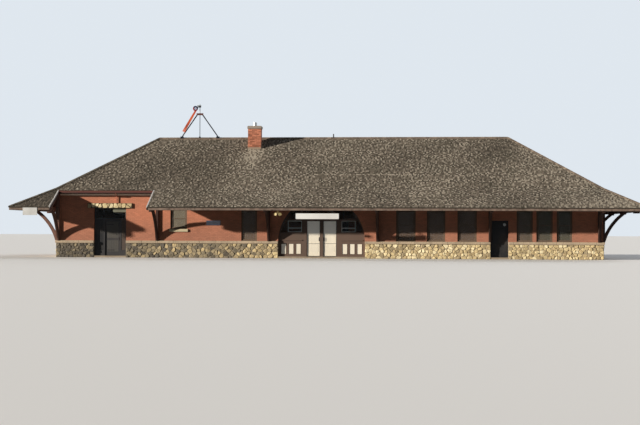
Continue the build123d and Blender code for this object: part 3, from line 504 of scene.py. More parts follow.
@cache
def stone_pattern() -> Pattern:
    """Model a rock-faced stone of unit radius that stands out along y.

    Returns:
        The stone, with its back at y 0, its shoulder at y -0.6 and a crown and peak on it.
    """
    obj = drum(Vector(), FORWARD, 1, 0.6, 10)
    with editing(obj) as work:
        select_facing(work, FORWARD)
        bpy.ops.mesh.inset(thickness=0.17, depth=0.4)
        bpy.ops.mesh.poke(offset=0.05)
    return Pattern.take(obj)


@cache
def bolt_pattern() -> Pattern:
    """Model a bolt head on its washer, of unit radius and height, that stands out along y.

    Returns:
        The bolt head.
    """
    obj = drum(Vector(), FORWARD, 1, 0.25, 12)
    with editing(obj) as work:
        select_facing(work, FORWARD)
        bpy.ops.mesh.inset(thickness=0.38)
        bpy.ops.mesh.inset(thickness=0.03, depth=0.75)
    return Pattern.take(obj)


def dished_disc(name: str, back: Vector, way: Vector, radius: float, depth: float,
                dish: float = 0.0) -> Thing:
    """Model a round plate with a raised rim.

    Args:
        name: Name of the object.
        back: Middle of its back.
        way: Unit direction that it faces.
        radius: Its radius.
        depth: Its thickness.
        dish: How far the middle is sunk inside the rim, or raised where it is negative.

    Returns:
        The plate.
    """
    obj = drum(back, way, radius, depth, 28)
    obj.name = name
    with editing(obj) as work:
        select_facing(work, way)
        bpy.ops.mesh.inset(thickness=radius * 0.12)
        bpy.ops.mesh.inset(thickness=radius * 0.05, depth=-dish)
        bpy.ops.mesh.select_all(action="SELECT")
        bpy.ops.mesh.normals_make_consistent(inside=False)
    return obj


def sleeve(name: str, start: Vector, end: Vector, radius: float) -> Thing:
    """Model a round sleeve between two points, with worn ends.

    Args:
        name: Name of the object.
        start: Middle of its first end.
        end: Middle of its other end.
        radius: Its radius.

    Returns:
        The sleeve.
    """
    way = (end - start).normalized()
    obj = drum(start, way, radius, (end - start).length, 20)
    obj.name = name
    with editing(obj) as work:
        select_facing(work, way, -way)
        bpy.ops.mesh.bevel(offset=radius / 4, segments=1, affect="EDGES")
    return obj


def fit_boards(low: Array, high: Array, bevel: Array | float) -> Array:
    """Fit chamfered boards to boxes, with the same chamfer whatever their size.

    Args:
        low: Lowest corner of each box.
        high: Highest corner of each box.
        bevel: Width of the chamfer.

    Returns:
        The points of every copy.
    """
    unit = board_pattern().points[None]
    near = low[:, None, :] + unit / BEVEL_SHARE * bevel
    far = high[:, None, :] - (1 - unit) / BEVEL_SHARE * bevel
    return np.where(unit < 0.5, near, far)


class NodeBench:
    """Adds nodes to one tree and joins them."""

    def __init__(self, tree: Tree) -> None:
        """Work on a tree."""
        self.tree = tree

    def add(self, kind: str, inputs: dict | None = None, **settings: object) -> Node:
        """Add a node.

        Args:
            kind: The node's type.
            inputs: Values or sockets for its inputs, by name or number.
            **settings: The node's own properties.

        Returns:
            The node.
        """
        node = self.tree.nodes.new(kind)
        for key, value in settings.items():
            setattr(node, key, value)
        for key, value in (inputs or {}).items():
            if isinstance(value, Socket):
                self.tree.links.new(value, node.inputs[key])
            else:
                node.inputs[key].default_value = value
        node.location.x = 180 * len(self.tree.nodes)
        return node

    def join(self, socket: Socket, node: Node, key: str) -> None:
        """Link a socket to a named input of a node."""
        self.tree.links.new(socket, node.inputs[key])

    def place(self) -> Socket:
        """Object coordinates."""
        return self.add("ShaderNodeTexCoord").outputs["Object"]

    def attribute(self, name: str) -> Socket:
        """A number that the mesh holds."""
        return self.add("ShaderNodeAttribute", attribute_name=name).outputs["Fac"]

    def calc(self, operation: str, *values: object) -> Socket:
        """Join numbers by one operation and give the result."""
        node = self.add("ShaderNodeMath", dict(enumerate(values)), operation=operation)
        return node.outputs[0]

    def vector(self, operation: str, first: object, second: object) -> Socket:
        """Join two vectors by one operation and give the result."""
        node = self.add("ShaderNodeVectorMath", {0: first, 1: second}, operation=operation)
        return node.outputs["Value" if operation == "DOT_PRODUCT" else "Vector"]

    def mix(self, factor: object, first: object, second: object) -> Socket:
        """Mix two colours by a factor and give the result."""
        node = self.add("ShaderNodeMix", {0: factor, 6: first, 7: second}, data_type="RGBA")
        return node.outputs[2]

    def noise(self, vector: object, scale: object, detail: float = 3.0) -> Socket:
        """Noise between about 0 and 1 at a scale."""
        node = self.add("ShaderNodeTexNoise", {"Vector": vector, "Scale": scale, "Detail": detail})
        return node.outputs["Fac"]

    def spread(self, value: object, start: tuple, end: Pair = (0.0, 1.0)) -> Socket:
        """Carry a number from one range over to another, and hold it at the ends."""
        keys = ("Value", "From Min", "From Max", "To Min", "To Max")
        return self.add("ShaderNodeMapRange", dict(zip(keys, (value, *start, *end)))).outputs[0]

    def ramp(self, factor: object, stops: Stops) -> Socket:
        """Take a colour from a row by a factor.

        Args:
            factor: The number that chooses the colour.
            stops: Position and colour of each stop.

        Returns:
            The colour.
        """
        node = self.add("ShaderNodeValToRGB", {"Fac": factor})
        points = node.color_ramp.elements
        while len(points) < len(stops):
            points.new(0.5)
        for point, (position, colour) in zip(points, stops):
            point.position, point.color = position, rgba(colour)
        return node.outputs["Color"]

    def group(self, tree: Tree, inputs: dict) -> Node:
        """Place a node group with its own values."""
        return self.add("ShaderNodeGroup", inputs, node_tree=tree)


def new_group(name: str, inputs: dict[str, object], outputs: dict[str, str]) -> tuple:
    """Start a node group with named inputs and outputs.

    Args:
        name: Name of the group.
        inputs: Default value of each input, whose type follows the value.
        outputs: Socket type of each output.

    Returns:
        A bench on its tree, the sockets of its inputs and its output node.
    """
    tree = bpy.data.node_groups.new(name, "ShaderNodeTree")
    for label, value in inputs.items():
        kind = "NodeSocketFloat" if isinstance(value, float) else "NodeSocketColor"
        kind = "NodeSocketVector" if isinstance(value, tuple) and len(value) == 3 else kind
        tree.interface.new_socket(label, in_out="INPUT", socket_type=kind).default_value = value
    for label, kind in outputs.items():
        tree.interface.new_socket(label, in_out="OUTPUT", socket_type=kind)
    bench = NodeBench(tree)
    return bench, bench.add("NodeGroupInput").outputs, bench.add("NodeGroupOutput")


def new_material(name: str) -> tuple[Material, NodeBench, Node]:
    """Start a material.

    Args:
        name: Its name.

    Returns:
        The material, a bench on its tree and its shader.
    """
    made = bpy.data.materials.new(name)
    made.use_nodes = True
    return made, NodeBench(made.node_tree), made.node_tree.nodes["Principled BSDF"]


def rgba(colour: Colour) -> tuple[float, float, float, float]:
    """A colour with full alpha."""
    return (*colour, 1.0)


@cache
def weather_group() -> Tree:
    """Group that breaks a colour up into patches, speckle, dirt and each copy's own tone.

    Returns:
        The group's tree.
    """
    bench, given, end = new_group(
        "weather",
        {"Colour": (0.5, 0.5, 0.5, 1.0), "Dirt Colour": (0.1, 0.1, 0.1, 1.0), "Tone": 0.5,
         "Tone Amount": 0.0, "Patch Scale": 0.5, "Patch Amount": 0.1, "Speckle Scale": 20.0,
         "Speckle Amount": 0.1, "Dirt Amount": 0.0},
        {"Colour": "NodeSocketColor", "Height": "NodeSocketFloat"},
    )
    place = bench.place()
    patch = bench.calc("SUBTRACT", bench.noise(place, given["Patch Scale"]), 0.5)
    speckle = bench.calc("SUBTRACT", bench.noise(place, given["Speckle Scale"], 6.0), 0.5)
    tone = bench.calc("SUBTRACT", given["Tone"], 0.5)
    gain = bench.calc("MULTIPLY_ADD", patch, given["Patch Amount"], 0.5)
    gain = bench.calc("MULTIPLY_ADD", speckle, given["Speckle Amount"], gain)
    gain = bench.calc("MULTIPLY_ADD", tone, given["Tone Amount"], gain)
    scaled = bench.add("ShaderNodeVectorMath", {
        0: given["Colour"], "Scale": bench.calc("MULTIPLY", gain, 2.0)}, operation="SCALE")
    cloud = bench.noise(place, bench.calc("MULTIPLY", given["Patch Scale"], 2.3), 5.0)
    dirt = bench.calc("MULTIPLY", bench.spread(cloud, (0.48, 0.72)), given["Dirt Amount"])
    bench.join(bench.mix(dirt, scaled.outputs[0], given["Dirt Colour"]), end, "Colour")
    bench.join(speckle, end, "Height")
    return bench.tree


@cache
def grain_group() -> Tree:
    """Group for wood grain: streaks drawn out along one way of a stretched place.

    Returns:
        The group's tree.
    """
    bench, given, end = new_group(
        "grain", {"Stretch": (12.0, 12.0, 1.0), "Scale": 4.0}, {"Value": "NodeSocketFloat"})
    drawn = bench.vector("MULTIPLY", bench.place(), given["Stretch"])
    bench.join(bench.noise(drawn, given["Scale"], 5.0), end, "Value")
    return bench.tree


@cache
def joint_group() -> Tree:
    """Group for open joints: 1 in thin lines at an even pitch along a number, else 0.

    Returns:
        The group's tree.
    """
    bench, given, end = new_group(
        "joints", {"Along": 0.0, "Pitch": 0.1, "Width": 0.006}, {"Mask": "NodeSocketFloat"})
    part = bench.calc("PINGPONG", bench.calc("DIVIDE", given["Along"], given["Pitch"]), 0.5)
    way = bench.calc("MULTIPLY", part, given["Pitch"])
    half = bench.calc("MULTIPLY", given["Width"], 0.5)
    bench.join(bench.calc("LESS_THAN", way, half), end, "Mask")
    return bench.tree


@cache
def dust_group() -> Tree:
    """Group for what splashes up from the ground: 1 at the ground, fading with height.

    Returns:
        The group's tree.
    """
    bench, given, end = new_group("dust", {"Height": 0.5, "Amount": 0.5}, {"Mask": "NodeSocketFloat"})
    place = bench.place()
    z = bench.add("ShaderNodeSeparateXYZ", {0: place}).outputs["Z"]
    rough = bench.calc("MULTIPLY_ADD", bench.noise(place, 2.5, 4.0), 0.5, z)
    fade = bench.spread(rough, (0.2, given["Height"]), (1.0, 0.0))
    bench.join(bench.calc("MULTIPLY", fade, given["Amount"]), end, "Mask")
    return bench.tree


@dataclass(frozen=True)
class Finish:
    """Colour, gloss and weathering of a matt surface."""

    name: str
    colour: Colour
    roughness: float = 0.8
    dirt: Colour = (0.12, 0.10, 0.08)
    dirt_amount: float = 0.25
    patch: Pair = (0.6, 0.15)
    speckle: Pair = (30.0, 0.12)
    tone: float = 0.0
    bump: float = 0.003
    metallic: float = 0.0
    dust: float = 0.0
    dust_colour: Colour = (0.42, 0.35, 0.26)
    gloss: float = 0.15
    coat: float = 0.0

    def colours(self, bench: NodeBench) -> object:
        """The clean colour, before weathering."""
        return rgba(self.colour)

    def height(self, bench: NodeBench, speckle: Socket) -> Socket:
        """The height that feeds the bump."""
        return speckle

    @cache
    def material(self) -> Material:
        """Build the material, once for each finish.

        Returns:
            The material.
        """
        made, bench, shader = new_material(f"{self.name}_finish")
        plain = {"Roughness": self.roughness, "Metallic": self.metallic, "Coat Weight": self.coat,
                 "Specular IOR Level": 0.5 if self.metallic else self.gloss}
        for key, value in plain.items():
            shader.inputs[key].default_value = value
        weather = bench.group(weather_group(), {
            "Colour": self.colours(bench), "Dirt Colour": rgba(self.dirt),
            "Tone": bench.attribute("tone") if self.tone else 0.5,
            "Tone Amount": self.tone, "Patch Scale": self.patch[0], "Patch Amount": self.patch[1],
            "Speckle Scale": self.speckle[0], "Speckle Amount": self.speckle[1],
            "Dirt Amount": self.dirt_amount,
        })
        colour = weather.outputs["Colour"]
        if self.dust:
            mask = bench.group(dust_group(), {"Height": self.dust, "Amount": 0.6}).outputs["Mask"]
            colour = bench.mix(mask, colour, rgba(self.dust_colour))
        bench.join(colour, shader, "Base Color")
        height = self.height(bench, weather.outputs["Height"])
        bump = bench.add("ShaderNodeBump", {
            "Strength": 0.6, "Distance": self.bump, "Height": height})
        bench.join(bump.outputs["Normal"], shader, "Normal")
        return made


@dataclass(frozen=True)
class Blended(Finish):
    """A finish whose copies take their colour from a row of colours by their own tone."""

    row: tuple[Colour, ...] = ()

    def colours(self, bench: NodeBench) -> Socket:
        """The copy's own colour from the row."""
        stops = [(index / (len(self.row) - 1), colour) for index, colour in enumerate(self.row)]
        return bench.ramp(bench.attribute("tone"), tuple(stops))


@dataclass(frozen=True)
class Banded(Finish):
    """Colour that changes along a straight line through the object: bands of paint, and in some
    finishes painted light and painted shade.
    """

    start: Triple = (0.0, 0.0, 0.0)
    end: Triple = (0.0, 0.0, 1.0)
    stops: Stops = ()

    def colours(self, bench: NodeBench) -> Socket:
        """Take the colour at a share of the way from the start to the end.

        Args:
            bench: The bench on the material's tree.

        Returns:
            The colour.
        """
        line = Vector(self.end) - Vector(self.start)
        scale = tuple(value / line.length_squared for value in line)
        way = bench.vector("SUBTRACT", bench.place(), self.start)
        return bench.ramp(bench.vector("DOT_PRODUCT", way, scale), self.stops)


@dataclass(frozen=True)
class Shaken(Blended):
    """Weathered shakes, with fine splits that run up the slope."""

    def height(self, bench: NodeBench, speckle: Socket) -> Socket:
        """Make splits that follow the run along the course, with the speckle.

        Args:
            bench: The bench on the material's tree.
            speckle: The height of the speckle.

        Returns:
            The height.
        """
        rise = bench.calc("MULTIPLY", bench.attribute("rise"), 0.08)
        place = bench.add("ShaderNodeCombineXYZ", {0: bench.attribute("run"), 1: rise})
        splits = bench.noise(place.outputs[0], 90.0, 2.0)
        return bench.calc("ADD", splits, bench.calc("MULTIPLY", speckle, 0.5))


@dataclass(frozen=True)
class Timber(Finish):
    """Painted or bare wood, with grain that is drawn out where the place is stretched least."""

    stretch: Triple = (12.0, 12.0, 1.0)

    def height(self, bench: NodeBench, speckle: Socket) -> Socket:
        """The height of the grain."""
        return bench.group(grain_group(), {"Stretch": self.stretch, "Scale": 4.0}).outputs["Value"]


@dataclass(frozen=True)
class Blocks(Finish):
    """Dressed stone in one course, with an upright joint between its blocks."""

    pitch: float = 0.92
    width: float = 0.016
    shade: float = 0.45

    def colours(self, bench: NodeBench) -> Socket:
        """Make the stone darker in the joints.

        Args:
            bench: The bench on the material's tree.

        Returns:
            The colour.
        """
        parts = bench.add("ShaderNodeSeparateXYZ", {0: bench.place()}).outputs
        along = bench.calc("ADD", parts["X"], parts["Y"])
        mask = bench.group(joint_group(), {"Along": along, "Pitch": self.pitch, "Width": self.width})
        dark = tuple(self.shade * value for value in self.colour)
        return bench.mix(mask.outputs["Mask"], rgba(self.colour), rgba(dark))


@dataclass(frozen=True)
class Glazing:
    """Thin window glass that shows what is behind it."""

    name: str = "window_glass"
    colour: Colour = (0.02, 0.025, 0.03)
    alpha: float = 0.12
    haze: Pair = (0.06, 0.3)

    def material(self) -> Material:
        """Build the material, with a faint dust that breaks up its gloss.

        Returns:
            The material.
        """
        made, bench, shader = new_material(f"{self.name}_finish")
        shader.inputs["Alpha"].default_value = self.alpha
        shader.inputs["Base Color"].default_value = rgba(self.colour)
        dust = bench.noise(bench.place(), 3.0, 5.0)
        bench.join(bench.spread(dust, (0.0, 1.0), self.haze), shader, "Roughness")
        return made


@dataclass(frozen=True)
class Finishes:
    """Every finish of the station, by the slot that it belongs to."""

    window_paint: Finish = Timber("window_paint", (0.165, 0.118, 0.084), 0.75, speckle=(12.0, 0.25))
    sidelight: Finish = Timber("sidelight", (0.62, 0.60, 0.56), 0.4, speckle=(12.0, 0.25), gloss=0.6)
    head_board: Finish = Timber("head_board", (0.20, 0.20, 0.15), 0.75)
    soffit: Finish = Timber("soffit", (0.075, 0.045, 0.035), 0.75, tone=0.2)
    freight_leaf: Finish = Timber("freight_leaf", (0.088, 0.084, 0.078), 0.6)
    freight_side: Finish = Timber("freight_side", (0.10, 0.078, 0.066), 0.7, speckle=(12.0, 0.3))
    shakes: Finish = Shaken(
        "shakes", (0.16, 0.13, 0.1), 0.9, (0.075, 0.07, 0.05), 0.3, (0.35, 0.2), (30.0, 0.5),
        0.2, 0.002, row=((0.072, 0.061, 0.048), (0.118, 0.099, 0.077), (0.158, 0.133, 0.104),
                         (0.205, 0.175, 0.138), (0.35, 0.31, 0.25)))
    stone: Finish = Blended(
        "fieldstone", (0.5, 0.36, 0.2), 0.9, (0.16, 0.13, 0.09), 0.3, (1.1, 0.3), (16.0, 0.4),
        0.15, 0.008, row=((0.16, 0.14, 0.115), (0.28, 0.235, 0.165), (0.45, 0.36, 0.22),
                          (0.62, 0.48, 0.265), (0.76, 0.61, 0.34), (0.88, 0.76, 0.49)))
    # Mortar is painted darker towards the left end of the building, as painted shade of the shadow over
    # that end of the base.
    mortar: Finish = Banded(
        "mortar", (0.42, 0.34, 0.235), 0.95, dust=0.3, start=(-15.6, 0.0, 0.0), end=(15.6, 0.0, 0.0),
        stops=((0.0, (0.17, 0.145, 0.11)), (0.25, (0.28, 0.235, 0.17)), (0.55, (0.45, 0.36, 0.24))))
    gap: Finish = Finish("lintel_gap", (0.11, 0.085, 0.055), 0.95)
    cap_stone: Finish = Blocks("cap_stone", (0.52, 0.41, 0.29), 0.9, patch=(0.9, 0.3),
                               speckle=(22.0, 0.35))
    threshold: Finish = Finish("threshold", (0.37, 0.30, 0.225), 0.85, patch=(1.5, 0.3))
    # Pale cream paint, set brighter still as painted light, since the gutter's shadow falls across the
    # frieze.
    frieze: Finish = Timber("frieze", (0.98, 0.68, 0.46), 0.3, stretch=(1.0, 12.0, 12.0), gloss=1.0)
    brick: Finish = Finish("brick", (0.60, 0.235, 0.14), 0.85, (0.2, 0.11, 0.07), 0.25,
                           (0.4, 0.2), (24.0, 0.2), 0.09, 0.002, dust=2.7,
                           dust_colour=(0.14, 0.128, 0.113))
    brick_back: Finish = Finish("brick_back", (0.47, 0.185, 0.105), 0.9, patch=(0.4, 0.2), dust=2.7,
                                dust_colour=(0.30, 0.155, 0.10))
    chimney_brick: Finish = Finish("chimney_brick", (0.50, 0.195, 0.12), 0.85, (0.2, 0.11, 0.07),
                                   0.3, (1.5, 0.25), (24.0, 0.2), 0.4, 0.003)
    concrete: Finish = Finish("concrete", (0.35, 0.30, 0.255), 0.9)
    lead: Finish = Finish("lead", (0.36, 0.27, 0.20), 0.7)
    sill: Finish = Finish("sill", (0.62, 0.53, 0.35), 0.85, dirt_amount=0.2)
    ridge: Finish = Shaken("ridge_shakes", (0.18, 0.13, 0.10), 0.9, row=(
        (0.17, 0.13, 0.10), (0.25, 0.195, 0.15), (0.36, 0.285, 0.22)), tone=0.1)
    strip: Finish = Finish("ridge_strip", (0.26, 0.20, 0.155), 0.9)
    fascia: Finish = Timber("fascia", (0.225, 0.165, 0.13), 0.7, (0.05, 0.038, 0.03), 0.75,
                            (2.4, 0.6), stretch=(1.0, 1.0, 14.0))
    # Timber colour is set darker than its lit paint, partly as painted shade for the timbers under the
    # eaves.
    timber: Finish = Timber("timber", (0.062, 0.031, 0.024), 0.6)
    # Painted light and shade: brackets at the left end are painted lighter where the sun falls on them,
    # and those along the front darker as painted shade under the eave.
    bracket: Finish = Banded(
        "bracket", (0.062, 0.031, 0.024), 0.6, start=(-17.7, 0.0, 0.0), end=(-14.7, 0.0, 0.0),
        stops=((0.78, (0.19, 0.10, 0.075)), (0.82, (0.062, 0.031, 0.024))))
    # Barge boards: white paint along the top edge, with the face below it painted dark as painted
    # shade.
    white_trim: Finish = Banded(
        "white_trim", (0.48, 0.47, 0.46), 0.6, (0.30, 0.27, 0.23), 0.2, start=(0.0, -5.0, 3.785),
        end=(0.0, -5.103, 3.986), stops=((0.52, (0.05, 0.036, 0.03)), (0.6, (0.58, 0.57, 0.56))))
    # The gutter is painted darker towards its bottom, as painted shade along its underside.
    gutter: Finish = Banded("gutter", (0.16, 0.07, 0.055), 0.6, (0.10, 0.07, 0.05), 0.3,
                            start=(0.0, 0.0, 3.69), end=(0.0, 0.0, 3.83),
                            stops=((0.0, (0.085, 0.036, 0.032)), (0.45, (0.12, 0.048, 0.04)),
                                   (1.0, (0.17, 0.058, 0.045))))
    downpipe: Finish = Finish("downpipe", (0.36, 0.135, 0.09), 0.6)
    screen: Finish = Timber("screen", (0.052, 0.050, 0.052), 0.55)
    entrance: Finish = Timber("entrance", (0.145, 0.098, 0.076), 0.6)
    door: Finish = Timber("door", (0.027, 0.027, 0.029), 0.55)
    entrance_door: Finish = Timber("entrance_door", (0.93, 0.85, 0.69), 0.3, (0.45, 0.38, 0.28),
                                   0.15, gloss=1.0, coat=1.0)
    glass: Glazing = Glazing()
    lens: Finish = Finish("lens", (0.40, 0.44, 0.58), 0.25, dirt_amount=0.1)
    lamp_lens: Finish = Finish("lamp_lens", (0.60, 0.50, 0.27), 0.25, dirt_amount=0.1)
    blind: Finish = Banded(
        "blind", (0.21, 0.15, 0.108), 0.9, patch=(1.2, 0.2), start=(-9.0, 0.0, 0.0),
        end=(15.0, 0.0, 0.0), stops=((0.1, (0.32, 0.275, 0.20)), (0.2, (0.22, 0.155, 0.115)),
                                     (0.8, (0.23, 0.16, 0.12)), (0.9, (0.165, 0.15, 0.108))))
    floor: Finish = Finish("floor", (0.35, 0.33, 0.30), 0.8, patch=(0.5, 0.3))
    steel: Finish = Finish("steel", (0.035, 0.035, 0.038), 0.5, (0.14, 0.07, 0.04), 0.3,
                           (6.0, 0.2))
    signal_frame: Finish = Banded(
        "signal_frame", (0.10, 0.10, 0.11), 0.5, (0.14, 0.07, 0.04), 0.15, start=(0.0, 0.0, 7.2),
        end=(0.0, 0.0, 9.3), stops=((0.66, (0.012, 0.016, 0.024)), (0.68, (0.12, 0.045, 0.036)),
                                    (0.73, (0.12, 0.045, 0.036)), (0.76, (0.55, 0.55, 0.55)),
                                    (0.89, (0.62, 0.62, 0.62)), (0.93, (0.30, 0.33, 0.36))))
    flue: Finish = Finish("flue", (0.45, 0.45, 0.44), 0.4, metallic=0.9)
    signal_red: Finish = Banded(
        "signal_red", (0.62, 0.09, 0.03), 0.55, (0.70, 0.35, 0.22), 0.15, (2.5, 0.2),
        start=(-8.20, 0.0, 9.16), end=(-9.10, 0.0, 7.601),
        stops=((0.05, (0.34, 0.37, 0.41)), (0.08, (0.07, 0.03, 0.06)), (0.15, (0.50, 0.055, 0.025)),
               (0.40, (0.66, 0.12, 0.035)), (0.62, (0.60, 0.11, 0.045)), (0.78, (0.36, 0.06, 0.03)),
               (0.88, (0.62, 0.15, 0.09)), (1.0, (0.70, 0.26, 0.20))))
    board: Finish = Finish("board", (0.74, 0.74, 0.72), 0.5)
    hung_board: Finish = Banded(
        "hung_board", (0.84, 0.84, 0.82), 0.5, (0.4, 0.38, 0.34), 0.15, start=(0.0, 0.0, 2.52),
        end=(0.0, 0.0, 2.56), stops=((0.3, (0.84, 0.84, 0.82)), (0.4, (0.05, 0.045, 0.04))))
    navy: Finish = Finish("navy", (0.02, 0.028, 0.075), 0.3, gloss=1.0)
    spectacle: Finish = Banded(
        "spectacle_rim", (0.02, 0.028, 0.075), 0.4, start=(-8.30, 0.0, 9.13), end=(-8.44, 0.0, 8.92),
        stops=((0.3, (0.012, 0.016, 0.06)), (0.6, (0.20, 0.02, 0.035)), (1.0, (0.30, 0.03, 0.03))))
    lamp: Finish = Finish("lamp", (0.48, 0.38, 0.16), 0.5)

    def dress(self) -> None:
        """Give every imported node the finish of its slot."""
        by_slot = {"stone": self.mortar, "brick": self.brick_back}
        by_node = {"door_sills": self.threshold, "freight_frieze": self.frieze,
                   "signal_frame": self.signal_frame, "name_board": self.hung_board,
                   "gutter_downpipe": self.downpipe, "freight_lintel": self.gap,
                   "ridge_cap": self.strip}
        for subpart in frame["record"]["subparts"]:
            slot, name = subpart["material_slot"], subpart["node"]
            finish = by_node.get(name) or by_slot.get(slot) or getattr(self, slot)
            node = frame["nodes"][name]
            node.data.materials.clear()
            node.data.materials.append(finish.material())


@dataclass(frozen=True)
class Piece:
    """How a new piece joins the model: the body it rides on, its slot and its finish."""

    finish: Finish
    slot: str
    body: str = "station"

    def settle(self, obj: Thing, *replaced: str) -> None:
        """Give an object its finish and body, and hide the nodes that it stands for.

        Args:
            obj: The object.
            *replaced: Names of the nodes.
        """
        obj.data.materials.clear()
        obj.data.materials.append(self.finish.material())
        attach(obj, self.body)
        if replaced:
            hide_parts(*replaced)


@dataclass
class Openings:
    """Where the walls are cut through: doorways, windows and the entrance arch."""

    station: Station
    doors: dict[Side, tuple[Rect, ...]] = field(default_factory=lambda: {
        Side.FRONT: ((-13.39, -11.52, 0.0, 2.84), (9.31, 10.31, 0.0, 2.19)),
        Side.REAR: ((11.52, 13.39, 0.0, 2.84), (-0.76, 0.74, 0.0, 2.19),
                    (-10.76, -9.76, 0.0, 2.19)),
        Side.LEFT: (), Side.RIGHT: (),
    })
    arch: Triple = (-0.24, 0.97, 2.48)
    slack: float = 0.02

    def windows(self, wall: Elevation) -> list[Rect]:
        """The window openings of one wall, from their frames."""
        spans = [wall.span(box) for box in solids("window_frames")]
        return [span for span in spans if span]

    def solid(self, wall: Elevation, low: float, high: float, ring: float) -> list[Pair]:
        """Find the stretches of wall between two heights that have no opening.

        Args:
            wall: The wall.
            low: Bottom of the course.
            high: Top of the course.
            ring: How far round the arch stays free too.

        Returns:
            Start and end of each stretch.
        """
        holes = [*self.windows(wall), *self.doors[wall.side]]
        cuts = [(left, right) for left, right, bottom, top in holes
                if bottom < high - self.slack and top > low + self.slack]
        if wall.side is Side.FRONT:
            centre, z, radius = self.arch
            level = (low + high) / 2 - z
            if abs(level) < radius + ring:
                cuts.append(about(centre, math.sqrt((radius + ring) ** 2 - max(level, 0) ** 2)))
        return between(cuts, wall.half - self.station.wall_set)

    def base(self, wall: Elevation) -> list[Pair]:
        """Find the stretches of base under one wall, between the doorways.

        Args:
            wall: The wall.

        Returns:
            Start and end of each stretch.
        """
        cuts = [door[:2] for door in self.doors[wall.side]]
        if wall.side is Side.FRONT:
            cuts.append(about(self.arch[0], self.arch[2]))
        return between(cuts, wall.half)


@dataclass
class Assembly:
    """A part of the station's looks."""

    station: Station
    finishes: Finishes
    openings: Openings

    def piece(self, finish: str, slot: str = "", body: str = "station") -> Piece:
        """Tell how a new piece joins. By default its slot is named after its finish."""
        return Piece(getattr(self.finishes, finish), slot or finish, body)

    def build(self) -> None:
        """Model its pieces."""
        raise NotImplementedError


